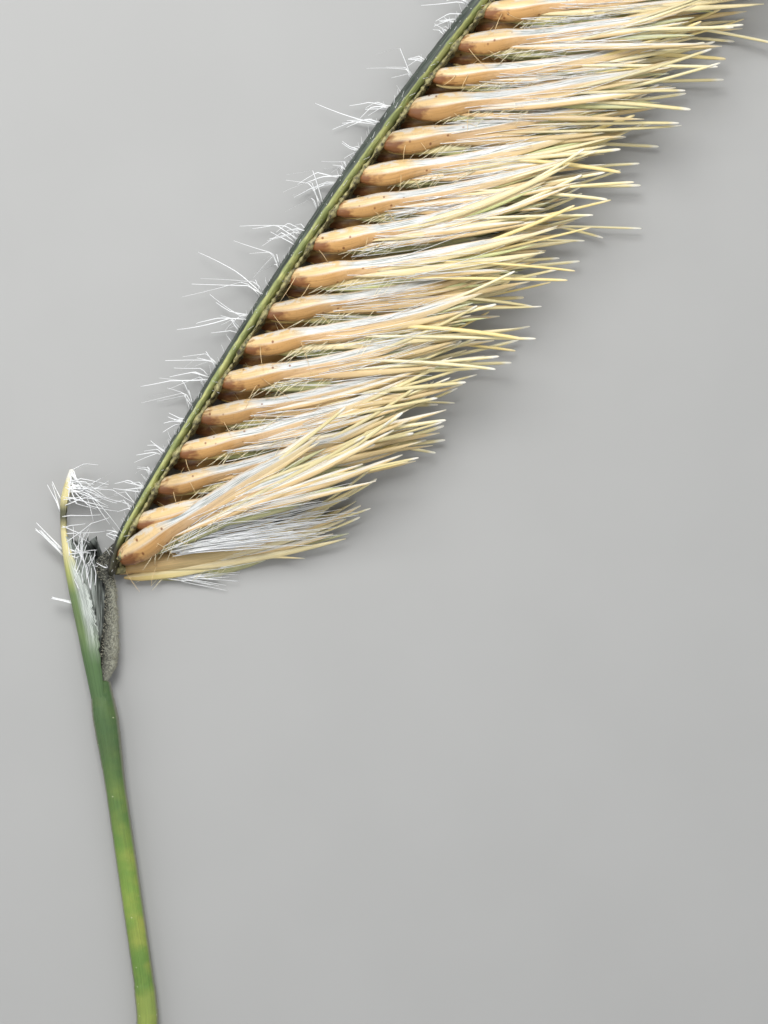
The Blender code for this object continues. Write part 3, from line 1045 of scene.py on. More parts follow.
@dataclass
class RowPlan:
    """Where each spikelet of a row stands and how it leans, drawn the same on every run.

    The pairs hold the upper row's number and then the lower row's: where the first spikelet stands along
    the axis, how far the row is above the axis's middle, and the first spikelet's slope and bend in
    degrees. The spikelets before number opening lean out step by step to meet that first one.
    """

    row: Row
    path: AxisPath = field(default_factory=AxisPath)
    pitch: float = 0.90
    firsts: tuple[float, float] = (0.40, 0.14)
    offsets: tuple[float, float] = (0.30, -0.20)
    first_angles: tuple[float, float] = (29.0, 6.0)
    first_bends: tuple[float, float] = (4.0, 22.0)
    opening: int = 4
    length: float = 5.26
    last_length_share: float = 0.58
    spread: float = math.radians(53.0)
    tip_spread: float = math.radians(26.0)
    bend_most: float = math.radians(15.0)
    splay_most: float = math.radians(10.0)
    gap: float = 0.025
    tip_rest: int = 12
    seed: int = 14

    def __post_init__(self) -> None:
        """Draws the row: a number for each spikelet in each list, and in awns two bristles for each.

        A bristle has its turn and its climb in degrees, and its reach as a share of the spikelet.
        """
        draw = random.Random(self.seed + self.row.value)
        first = self.firsts[self.row.value]
        count = int((self.path.length - first) / self.pitch) + 1
        lists: list[list[float]] = []
        awns: list[list[tuple[float, float, float]]] = []
        for place in range(count):
            share = (first + place * self.pitch) / self.path.length
            axis_angle = float(self.path.angles(np.array(share)))
            nodding = float(ease((share - 0.50) / 0.50))
            spread = self.spread + (self.tip_spread - self.spread) * nodding
            bend = self.bend_most * (1.0 - 0.5 * nodding) + math.radians(draw.uniform(-4.0, 4.0))
            angle = axis_angle - spread + math.radians(draw.uniform(-1.8, 1.8))
            if place == 0:
                angle = math.radians(self.first_angles[self.row.value])
                bend = math.radians(self.first_bends[self.row.value])
            elif place < self.opening:
                angle += math.radians(self.opening - place)
                bend += math.radians(2.5 * (self.opening - place))
            splay = self.splay_most + math.radians(draw.uniform(-3.5, 4.5))
            grain = draw.uniform(0.04, 0.10)
            tip = draw.uniform(0.08, 0.20) * (place != self.tip_rest)
            shrink = 1.0 - (1.0 - self.last_length_share) * float(ease((share - 0.66) / 0.34))
            size = shrink * draw.uniform(0.96, 1.04)
            lists.append([share, angle, bend, splay, grain, tip, size])
            awns.append(
                [
                    (draw.uniform(-1.0, 6.0), draw.uniform(-2.0, 3.0), draw.uniform(1.12, 1.22)),
                    (draw.uniform(-24.0, -9.0), draw.uniform(-1.0, 5.0), draw.uniform(1.08, 1.22)),
                ]
            )
        table = np.array(lists)
        self.share, self.angle, self.bend, self.splay, self.grain, self.tip, self.size = table.T
        self.awns = np.array(awns)
        self.count = count
        away = self.path.slim(self.share) + self.gap
        self.base = self.path.points(self.share) + self.path.across(self.share) * away[:, None]
        self.level = self.path.foot[2] + self.offsets[self.row.value]
        self.tone = np.random.default_rng(self.seed + 40 + self.row.value).uniform(0.0, 1.0, count)

    def line(self, shares: Array, resting: Array | float = 0.1) -> tuple[Array, Array]:
        """The spikelets' middle lines.

        A line leaves the axis at the spikelet's angle and bends evenly. In the upper row it climbs at the
        splay. In the lower row it drops onto the surface within a tenth of its length.

        Args:
            shares: Shares of each spikelet's length, as (spikelets, stations).
            resting: How far the line is above the lower row's clearance from the surface.

        Returns:
            Places and in-plane unit normals, both as (spikelets, stations, 3).
        """
        run = self.length * self.size[:, None] * shares
        slope = self.angle[:, None] + self.bend[:, None] * shares / 2.0
        x = self.base[:, 0, None] + np.cos(slope) * run
        y = self.base[:, 1, None] + np.sin(slope) * run
        if self.row is Row.UPPER:
            z = self.level + np.sin(self.splay)[:, None] * run
        else:
            rest = resting + self.grain[:, None] + (self.tip - self.grain)[:, None] * shares
            z = self.level + (rest - self.level) * ease(shares / 0.10)
        heading = self.angle[:, None] + self.bend[:, None] * shares
        normal = np.stack([-np.sin(heading), np.cos(heading), np.zeros_like(heading)], -1)
        return np.stack([x, y, z], -1), normal


@dataclass
class Blades:
    """One blade or bristle for each spikelet of a row, which leaves its middle line and runs its own way.

    Its slope is the spikelet's own, bend and all, plus the turn. aside and rise place its root beside and
    above the line. ripple is how far a slow wave, drawn by seed, moves it from side to side.
    """

    leave: Array
    reach: Array
    turn: Array
    climb: Array
    aside: Array
    rise: Array
    ripple: float = 0.0
    seed: int = 0

    def rings(
        self,
        plan: RowPlan,
        half_wide: Array,
        half_deep: Array,
        corners: int,
        keel: float,
        shares: Array | None = None,
    ) -> Array:
        """Carries an oval section along each blade's own line.

        Args:
            plan: The row that the blades belong to.
            half_wide: Half widths, as (stations,) or (spikelets, stations).
            half_deep: Half depths, in the same form.
            corners: Corners in each section.
            keel: How sharp the section's back is, as oval has it.
            shares: Where the stations are, or None for even steps.

        Returns:
            The corners, as (spikelets, stations, corners, 3).
        """
        stations = half_wide.shape[-1]
        share = (np.linspace(0.0, 1.0, stations) if shares is None else shares)[None, :]
        root, normal = plan.line(np.broadcast_to(self.leave[:, None], (plan.count, 1)))
        start = root[:, 0] + normal[:, 0] * self.aside[:, None]
        span = (self.reach - self.leave)[:, None]
        length = plan.length * plan.size[:, None] * span
        slope = plan.angle[:, None] + plan.bend[:, None] * (self.leave[:, None] + span * share / 2.0)
        slope = slope + self.turn[:, None] * (0.6 + 0.4 * share)
        lift = self.climb[:, None] + (plan.splay[:, None] if plan.row is Row.UPPER else math.radians(2.0))
        run = length * share
        x = start[:, 0, None] + np.cos(slope) * run
        y = start[:, 1, None] + np.sin(slope) * run
        z = start[:, 2, None] + self.rise[:, None] + np.sin(lift) * run
        across, up = oval(corners, np.full(stations, keel))
        normals = np.stack([-np.sin(slope), np.cos(slope), np.zeros_like(slope)], -1)
        wave = waves(share * 3.0 + np.arange(plan.count)[:, None] * 5.3, 60 + self.seed, 3, 2.5)
        sway = (self.ripple * wave * share)[..., None]
        wide = np.broadcast_to(half_wide, x.shape)[..., None] * across + sway
        deep = np.broadcast_to(half_deep, x.shape)[..., None] * up
        centre = np.stack([x, y, z], -1)[:, :, None]
        rings = centre + normals[:, :, None] * wide[..., None]
        rings[..., 2] += deep
        return on_surface(rings)


# Spikelets


@dataclass(frozen=True)
class Fan:
    """How the blades of one kind stand under each husk.

    leave and reach are the lowest and highest shares of the spikelet where a blade starts and ends, turn
    its turn from the spikelet's line and climb its rise from it in degrees, rise its root's height above
    the line, drop how far below the line the lowest root is, width its largest half width, thick the most
    that half its thickness may be, and outline its width's course.
    """

    repeats: int
    leave: tuple[float, float]
    reach: tuple[float, float]
    turn: tuple[float, float]
    climb: tuple[float, float]
    rise: tuple[float, float]
    drop: float
    width: float
    thick: float
    outline: Stops


LEAF = ((0.0, 0.15), (0.15, 0.70), (0.35, 1.0), (0.60, 0.95), (0.85, 0.50), (1.0, 0.08))
LOBE = ((0.0, 0.20), (0.25, 1.0), (0.55, 0.95), (0.85, 0.50), (0.96, 0.25), (1.0, 0.10))
STRIP = ((0.0, 0.10), (0.12, 0.55), (0.28, 1.0), (0.60, 0.90), (0.85, 0.56), (0.96, 0.30), (1.0, 0.12))
LEMMAS = Fan(
    3, leave=(0.06, 0.12), reach=(0.62, 0.84), turn=(-9.0, -2.0), climb=(-4.0, -2.0), rise=(-0.15, -0.05),
    drop=0.20, width=0.175, thick=0.045, outline=LEAF,
)
LOBES = Fan(
    5, leave=(0.42, 0.56), reach=(0.80, 1.02), turn=(-14.0, 1.0), climb=(-2.4, 0.6), rise=(-0.12, -0.02),
    drop=0.22, width=0.068, thick=0.030, outline=LOBE,
)
STRAWS = Fan(
    5, leave=(0.16, 0.36), reach=(0.88, 1.13), turn=(-11.0, 3.0), climb=(-1.4, 1.2), rise=(-0.05, 0.05),
    drop=0.17, width=0.082, thick=0.032, outline=STRIP,
)
LOW_STRAWS = replace(STRAWS, reach=(0.86, 1.10), rise=(0.02, 0.10))


@dataclass
class SpikeletRow(Assembly):
    """A row of spikelets: keeled husks, inner husks, floret blades, bristles, stalks and hairs.

    The courses, such as husk_wide, give half a width or a depth along a piece. Of the bristles to a
    spikelet, the first few, packed, stand where the solids have theirs.
    """

    row: Row
    node: str
    slot: str
    husk: HuskFinish
    stations: int = 34
    corners: int = 20
    husk_wide: Stops = (
        (0.0, 0.10), (0.015, 0.160), (0.05, 0.220), (0.11, 0.258), (0.16, 0.262), (0.21, 0.236),
        (0.26, 0.192), (0.34, 0.166), (0.62, 0.150), (0.80, 0.112), (0.93, 0.055), (1.0, 0.010),
    )
    husk_deep: Stops = (
        (0.0, 0.07), (0.015, 0.12), (0.05, 0.175), (0.11, 0.215), (0.17, 0.205), (0.24, 0.155),
        (0.32, 0.115), (0.45, 0.090), (0.65, 0.070), (0.82, 0.050), (1.0, 0.010),
    )
    inner_wide: Stops = ((0.0, 0.02), (0.12, 0.10), (0.45, 0.105), (0.8, 0.055), (1.0, 0.006))
    inner_deep: Stops = ((0.0, 0.02), (0.12, 0.06), (0.45, 0.035), (1.0, 0.006))
    bristle_wide: Stops = (
        (0.0, 0.012), (0.22, 0.038), (0.60, 0.042), (0.90, 0.037), (0.97, 0.032), (0.99, 0.024), (1.0, 0.009),
    )
    stalk_wide: Stops = ((0.0, 0.11), (0.3, 0.12), (0.6, 0.10), (1.0, 0.09))
    bristles: int = 4
    packed: int = 2
    silk_each: int = 30
    silk_radius: float = 0.011
    fringe_each: int = 24
    fringe_radius: float = 0.0085
    root_hairs_each: int = 2
    root_hair_radius: float = 0.009

    def __post_init__(self) -> None:
        """Draws the row's plan."""
        self.plan = RowPlan(self.row)
        self.label = self.row.name.lower()
        self.draw = np.random.default_rng(300 + self.row.value)
        self.stout = 1.0 + 0.22 * (np.arange(self.plan.count) == 0)

    def add(
        self, kind: str, rings: Array, finish: Finish, spread: float = 0.16, shares: Array | None = None
    ) -> None:
        """Makes a piece of one kind, with a tone near its spikelet's own for each repeat.

        Args:
            kind: What the piece is, for its name.
            rings: The tubes, as tube_mesh has them: one for each spikelet, or some whole number of them.
            finish: What it is made of.
            spread: How far a repeat's tone may stray.
            shares: U for each station, or None for even steps.
        """
        repeats = len(rings) // self.plan.count
        strays = self.draw.uniform(-spread, spread, len(rings))
        tones = np.clip(np.tile(self.plan.tone, repeats) + strays, 0.0, 1.0)
        self.show(f"{self.label}_{kind}", rings, finish, tones, shares)

    def add_hairs(self, kind: str, hairs: Hairs, radius: float, stations: int, finish: Finish) -> None:
        """Makes a piece of fine hairs, each with a tone of its own."""
        tones = self.draw.uniform(0.0, 1.0, len(hairs.roots))
        self.show_hairs(f"{self.label}_{kind}", hairs, radius, stations, finish, tones)

    def keeled_husks(self) -> None:
        """The outer husk of each spikelet: a plump grain at its root, then a long keeled blade.

        Half its width rises to 0.26 mm at a sixth of its length, falls to a strip, and ends in a point.
        The section sharpens from a blunt tent to a sharp one as the grain becomes the strip, which leaves
        the grain above its middle. The lower row's first husk is the open one that the lowest floret makes.
        """
        shares = np.linspace(0.0, 1.0, self.stations) ** 1.3
        wide = profile(shares, self.husk_wide)
        deep = profile(shares, self.husk_deep)
        keel = 0.98 + 0.14 * ease(shares / 0.10) + 0.42 * ease((shares - 0.14) / 0.20)
        plan = self.plan
        size = (plan.size * self.stout * self.draw.uniform(0.94, 1.06, plan.count))[:, None]
        centres = self.draw.uniform(0.08, 0.17, plan.count)[:, None]
        swells = self.draw.uniform(-0.12, 0.12, plan.count)[:, None]
        size = size * (1.0 + swells * np.exp(-(((shares - centres) / 0.08) ** 2)))
        line, normal = plan.line(np.broadcast_to(shares, (plan.count, len(shares))), deep * 0.92)
        ripple = waves(shares[None] * 6.0 + np.arange(plan.count)[:, None] * 3.7, 5, 4, 2.2)
        aside = ripple * 0.035 * ease((shares - 0.3) / 0.5) + 0.065 * ease((shares - 0.10) / 0.16)
        across, up = oval(self.corners, keel)
        reach = (wide * size)[..., None] * across + aside[..., None]
        rings = line[:, :, None] + normal[:, :, None] * reach[..., None]
        rings[..., 2] += (deep * size)[..., None] * up
        tones = np.clip(plan.tone + self.draw.uniform(-0.05, 0.05, plan.count), 0.0, 1.0)
        opened = self.row.value
        name = f"{self.label}_keeled_husks"
        self.show(name, on_surface(rings)[opened:], self.husk, tones[opened:], shares)

    def inner_husks(self) -> None:
        """The small inner husk, which lies along the lower side of the grain and ends in a pale point."""
        share = np.linspace(0.0, 1.0, 14)
        plan = self.plan
        blades = Blades(
            leave=np.full(plan.count, 0.02),
            reach=self.draw.uniform(0.40, 0.58, plan.count),
            turn=np.radians(self.draw.uniform(-5.0, -1.0, plan.count)),
            climb=np.radians(self.draw.uniform(-2.0, 0.0, plan.count)),
            aside=self.draw.uniform(-0.18, -0.12, plan.count) * self.stout,
            rise=np.full(plan.count, -0.06 if self.row is Row.UPPER else 0.05),
        )
        wide = profile(share, self.inner_wide)
        deep = profile(share, self.inner_deep)
        self.add("inner_husks", blades.rings(plan, wide, deep, 10, 1.2), INNER_HUSK)

    def fan(self, kind: str, finish: Finish, fan: Fan) -> None:
        """Blades that fan out below each keeled husk, each with its own length and lean.

        Args:
            kind: What the blades are, for the piece's name.
            finish: What they are made of.
            fan: How they stand.
        """
        share = np.linspace(0.0, 1.0, 16)
        plan = self.plan
        wide = profile(share, fan.outline) * fan.width
        deep = np.minimum(wide * 0.5, fan.thick)
        parts = []
        for place in range(fan.repeats):
            level = (place + 0.5) / fan.repeats
            low = np.full(plan.count, fan.turn[0] + (fan.turn[1] - fan.turn[0]) * level)
            blades = Blades(
                leave=self.draw.uniform(*fan.leave, plan.count),
                reach=self.draw.uniform(*fan.reach, plan.count),
                turn=np.radians(low + self.draw.uniform(-2.2, 2.2, plan.count)),
                climb=np.radians(self.draw.uniform(*fan.climb, plan.count)),
                aside=-fan.drop * (1.0 - level) + self.draw.uniform(-0.03, 0.03, plan.count),
                rise=self.draw.uniform(*fan.rise, plan.count),
                ripple=0.025,
                seed=place,
            )
            sizes = (plan.size * self.stout * self.draw.uniform(0.8, 1.2, plan.count))[:, None]
            parts.append(blades.rings(plan, wide * sizes, deep * sizes, 8, 1.25))
        self.add(kind, np.concatenate(parts), finish, 0.45)

    def long_bristles(self) -> None:
        """The bristles: even, blunt and round, some past the husks' points and some bent well outwards."""
        share = np.array([0.0, 0.10, 0.22, 0.36, 0.50, 0.64, 0.78, 0.90, 0.965, 0.99, 1.0])
        plan = self.plan
        wide = profile(share, self.bristle_wide)
        parts = []
        for place in range(self.bristles):
            packed = place < self.packed
            turn, climb, reach = plan.awns[:, min(place, self.packed - 1)].T
            leave = np.full(plan.count, 0.55)
            aside = np.zeros(plan.count)
            rise = np.zeros(plan.count)
            if not packed:
                turn = self.draw.uniform(-17.0, 7.0, plan.count)
                climb = self.draw.uniform(-2.0, 2.5, plan.count)
                reach = self.draw.uniform(1.02, 1.27, plan.count)
                leave = self.draw.uniform(0.34, 0.52, plan.count)
                aside = self.draw.uniform(-0.24, 0.02, plan.count)
                rise = self.draw.uniform(-0.08, 0.05, plan.count)
            blades = Blades(
                leave=leave,
                reach=reach,
                turn=np.radians(turn),
                climb=np.radians(climb),
                aside=aside,
                rise=rise,
                ripple=0.0 if packed else 0.02,
                seed=place + 10,
            )
            sizes = self.draw.uniform(0.62, 1.15, plan.count)[:, None]
            parts.append(blades.rings(plan, wide * sizes, wide * sizes * 0.7, 8, 1.15, share))
        self.add("bristles", np.concatenate(parts), BRISTLE, 0.45, share)

    def stalks(self) -> None:
        """The short stalk of each spikelet: a small dark round knuckle between the axis and the grain."""
        share = np.linspace(0.0, 1.0, 8)
        plan = self.plan
        path = plan.path
        inner = path.points(plan.share) + path.across(plan.share) * (path.slim(plan.share) * 0.75)[:, None]
        inner[:, 2] = plan.level * 0.7 + path.foot[2] * 0.3
        outer, _ = plan.line(np.full((plan.count, 1), 0.035), 0.18)
        line = inner[:, None] + (outer - inner[:, None]) * share[None, :, None]
        size = profile(share, self.stalk_wide)[None, :, None]
        rings = carry_round(line, path.along(plan.share)[:, None], size, size, circle(10))
        self.add("stalks", rings, STALK_SKIN)

    def bed(self) -> None:
        """The strip of crowded stalk bases beside the axis: an oval section that swells at each spikelet."""
        plan = self.plan
        path = plan.path
        share = np.linspace(plan.share[0], plan.share[-1], 420)
        gaps = np.cos((share * path.length - plan.firsts[self.row.value]) / plan.pitch * FULL_TURN)
        rough = waves(share * 160.0, 9 + self.row.value)
        thin = path.thinning(share)
        centre = path.points(share) + path.across(share) * (path.slim(share) + 0.03)[:, None]
        centre[:, 2] += plan.offsets[self.row.value] * (0.55 + 0.45 * thin)
        half_thick = (0.052 + 0.022 * gaps + 0.020 * rough) * (0.5 + 0.5 * thin)
        half_high = 0.15 + 0.03 * gaps
        rings = carry_round(centre, path.across(share), half_thick[:, None], half_high[:, None], circle(12))
        self.show(f"{self.label}_bed", rings[None], STALK_SKIN)

    def silk(self) -> None:
        """White silky hairs from among the florets, which run with their spikelets and cross a little."""
        plan = self.plan
        owner = np.repeat(np.arange(plan.count), self.silk_each)
        total = len(owner)
        shares = self.draw.uniform(0.14, 0.56, (plan.count, self.silk_each))
        line, normal = plan.line(shares)
        roots = line.reshape(-1, 3) + normal.reshape(-1, 3) * self.draw.uniform(-0.38, 0.10, (total, 1))
        roots[:, 2] += self.draw.uniform(-0.04, 0.10, total)
        lean = np.radians(self.draw.normal(-1.5, 3.8, total))
        slope = plan.angle[owner] + plan.bend[owner] * shares.reshape(-1) + lean
        lift = plan.splay[owner] if self.row is Row.UPPER else 0.0
        climb = np.radians(self.draw.uniform(-1.0, 6.0, total)) + lift
        headings = unit(np.stack([np.cos(slope), np.sin(slope), np.tan(climb)], -1))
        bends = self.draw.uniform(-0.07, 0.07, (total, 3)) * np.array([0.3, 1.0, 0.5])
        lengths = self.draw.uniform(0.8, 2.3, total) * plan.size[owner]
        self.add_hairs("silk", Hairs(roots, headings, lengths, bends), self.silk_radius, 6, SILK)

    def fringe(self) -> None:
        """Fine pale hairs on the florets' lower edges, which slant across the gap to the next spikelet."""
        plan = self.plan
        owner = np.repeat(np.arange(plan.count), self.fringe_each)
        total = len(owner)
        shares = self.draw.uniform(0.16, 0.55, (plan.count, self.fringe_each))
        line, normal = plan.line(shares, 0.12)
        roots = line.reshape(-1, 3) - normal.reshape(-1, 3) * self.draw.uniform(0.10, 0.22, (total, 1))
        roots[:, 2] += self.draw.uniform(-0.06, 0.04, total)
        back = plan.angle[owner] + np.pi + np.radians(self.draw.uniform(18.0, 50.0, total))
        headings = unit(np.stack([np.cos(back), np.sin(back), self.draw.uniform(-0.15, 0.1, total)], -1))
        bends = self.draw.uniform(-0.10, 0.10, (total, 3))
        hairs = Hairs(roots, headings, self.draw.uniform(0.26, 0.68, total), bends)
        self.add_hairs("fringe", hairs, self.fringe_radius, 5, CREAM_HAIR)

    def root_hairs(self) -> None:
        """Longer tan hairs at each grain, some down across it and some back to the axis."""
        plan = self.plan
        owner = np.repeat(np.arange(plan.count), self.root_hairs_each)
        total = len(owner)
        shares = self.draw.uniform(0.0, 0.26, total)
        line, normal = plan.line(shares.reshape(plan.count, self.root_hairs_each), 0.2)
        aside = self.draw.uniform(-0.19, 0.02, total)
        roots = line.reshape(-1, 3) + normal.reshape(-1, 3) * aside[:, None]
        roots[:, 2] += np.where(np.abs(aside) < 0.1, 0.19, 0.12)
        slope = plan.angle[owner] + np.radians(self.draw.uniform(-140.0, -35.0, total))
        headings = unit(np.stack([np.cos(slope), np.sin(slope), self.draw.uniform(0.0, 0.25, total)], -1))
        bends = self.draw.uniform(-0.25, 0.25, (total, 3)) * np.array([1.0, 1.0, 0.3])
        hairs = Hairs(roots, headings, self.draw.uniform(0.25, 0.75, total), bends)
        self.add_hairs("root_hairs", hairs, self.root_hair_radius, 7, TAN_HAIR)

    def build(self) -> None:
        """Makes every piece of the row."""
        self.keeled_husks()
        self.inner_husks()
        self.fan("lemma_blades", LEMMA_BLADE, LEMMAS)
        self.fan("lemma_lobes", LEMMA_BLADE, LOBES)
        self.fan("straw_blades", STRAW_BLADE, STRAWS if self.row is Row.UPPER else LOW_STRAWS)
        self.long_bristles()
        self.stalks()
        self.bed()
        self.silk()
        self.fringe()
        self.root_hairs()


@dataclass
class LowestFloret(Assembly):
    """What opens out between the two lowest spikelets: a boat-like husk, pale blades and white silk."""

    node: str = "spikelets_lower_row"
    slot: str = "pale_straw"
    foot: tuple[float, float] = (-9.02, -4.80)
    stations: int = 60
    columns: int = 16
    boat_wide: Stops = (
        (0.0, 0.12), (0.05, 0.30), (0.15, 0.45), (0.28, 0.48), (0.45, 0.38), (0.65, 0.24), (0.85, 0.14),
        (1.0, 0.02),
    )
    blade_count: int = 13
    blade_wide: float = 0.085
    bundle: int = 140
    below: int = 26
    silk_radius: float = 0.015

    def line(self, share: Array, turn: float, bend: float, length: float) -> Array:
        """A line from the foot, seen from above.

        Args:
            share: Shares of its length.
            turn: The slope that it starts at, in degrees.
            bend: How far it bends evenly by its end, in degrees.
            length: How long it is.

        Returns:
            The places, with heights of 0.
        """
        slope = np.radians(turn + bend * share / 2.0)
        x = self.foot[0] + np.cos(slope) * length * share
        y = self.foot[1] + np.sin(slope) * length * share
        return np.stack([x, y, np.zeros_like(x)], -1)

    def boat(self) -> None:
        """The boat-like husk: a curved sheet whose lower edge is nearly straight and upper edge bows up.

        Seen from above it is 0.48 mm broad at a quarter of its length. Its height falls away to both
        edges, as a half ellipse, and more slowly to the edge by the silk.
        """
        share = np.linspace(0.0, 1.0, self.stations) ** 1.15
        broad = profile(share, self.boat_wide)
        lower = self.line(share, 0.0, 34.0, 5.5)
        out = np.linspace(0.0, 1.0, self.columns)
        sheet = np.repeat(lower[:, None], self.columns, axis=1)
        sheet[..., 1] += broad[:, None] * out
        arch = np.sqrt(np.clip(1.0 - (2.0 * out - 1.0) ** 2, 0.0, 1.0))
        sheet[..., 2] = 0.10 + broad[:, None] * (0.75 * arch * (1.0 - 0.35 * out) + 0.20 * out)
        under = sheet[:, ::-1] - np.array([0.0, 0.0, 0.06])
        rings = np.concatenate([sheet, under], axis=1)
        self.show("lowest_boat", on_surface(rings)[None], BOAT_HUSK, np.array([0.2]), share)

    def blades(self) -> None:
        """Pale blades that rise out of the boat to either side of the silk, with the lowest bristle."""
        draw = np.random.default_rng(52)
        count = self.blade_count
        share = np.linspace(0.0, 1.0, 16)
        wide = profile(share, STRIP) * self.blade_wide
        turn = np.linspace(2.0, 27.0, count) + draw.uniform(-1.5, 1.5, count)
        bend = draw.uniform(14.0, 26.0, count)
        length = draw.uniform(4.4, 5.7, count)
        turn[0], bend[0], length[0] = 14.0, -18.0, 4.15
        from_share = 0.30 + 0.70 * share
        parts = []
        for place in range(count):
            centre = self.line(from_share, turn[place], bend[place], length[place])
            centre[:, 2] = 0.24 + 0.018 * place + 0.10 * share
            heading = np.radians(turn[place] + bend[place] * from_share)
            normal = np.stack([-np.sin(heading), np.cos(heading), np.zeros_like(heading)], -1)
            size = (wide * (0.5 if place == 0 else 1.0))[:, None]
            parts.append(carry_round(centre, normal, size, 0.35 * size, circle(8)))
        self.show("lowest_blades", np.stack(parts), BOAT_HUSK, draw.uniform(0.4, 1.0, count))

    def silk(self) -> None:
        """A bright bundle of silk between the two lowest husks, and a loose tuft of it below."""
        draw = np.random.default_rng(58)
        bundle, below = self.bundle, self.below
        count = bundle + below
        angle = np.radians(np.concatenate([draw.uniform(17.0, 33.0, bundle), draw.uniform(-3.0, 3.0, below)]))
        away = np.concatenate([draw.uniform(1.3, 2.3, bundle), draw.uniform(0.9, 1.5, below)])
        high = np.concatenate([draw.uniform(0.66, 0.84, bundle), draw.uniform(0.10, 0.20, below)])
        roots = np.stack([self.foot[0] + np.cos(angle) * away, self.foot[1] + np.sin(angle) * away, high], -1)
        level = (np.degrees(angle[:bundle]) - 17.0) * 0.55 + 8.0
        slope = np.concatenate([level + draw.normal(0.0, 1.8, bundle), draw.normal(-6.0, 6.0, below)])
        turned = slope + np.concatenate([draw.normal(-3.0, 2.0, bundle), draw.normal(4.0, 5.0, below)])
        rises = np.concatenate([draw.uniform(0.02, 0.08, bundle), draw.uniform(-0.02, 0.03, below)])
        lengths = np.concatenate([draw.uniform(1.1, 3.4, bundle), draw.uniform(0.5, 1.5, below)])
        bends = draw.normal(0.0, 0.02, (count, 3))
        hairs = Hairs(roots, in_plane(slope, rises), lengths, bends, in_plane(turned, rises))
        self.show_hairs("lowest_silk", hairs, self.silk_radius, 8, SILK, draw.uniform(0.0, 0.3, count))

    def build(self) -> None:
        """Makes the boat, its blades and its silk."""
        self.boat()
        self.blades()
        self.silk()


# Axis, foot, bract and stem


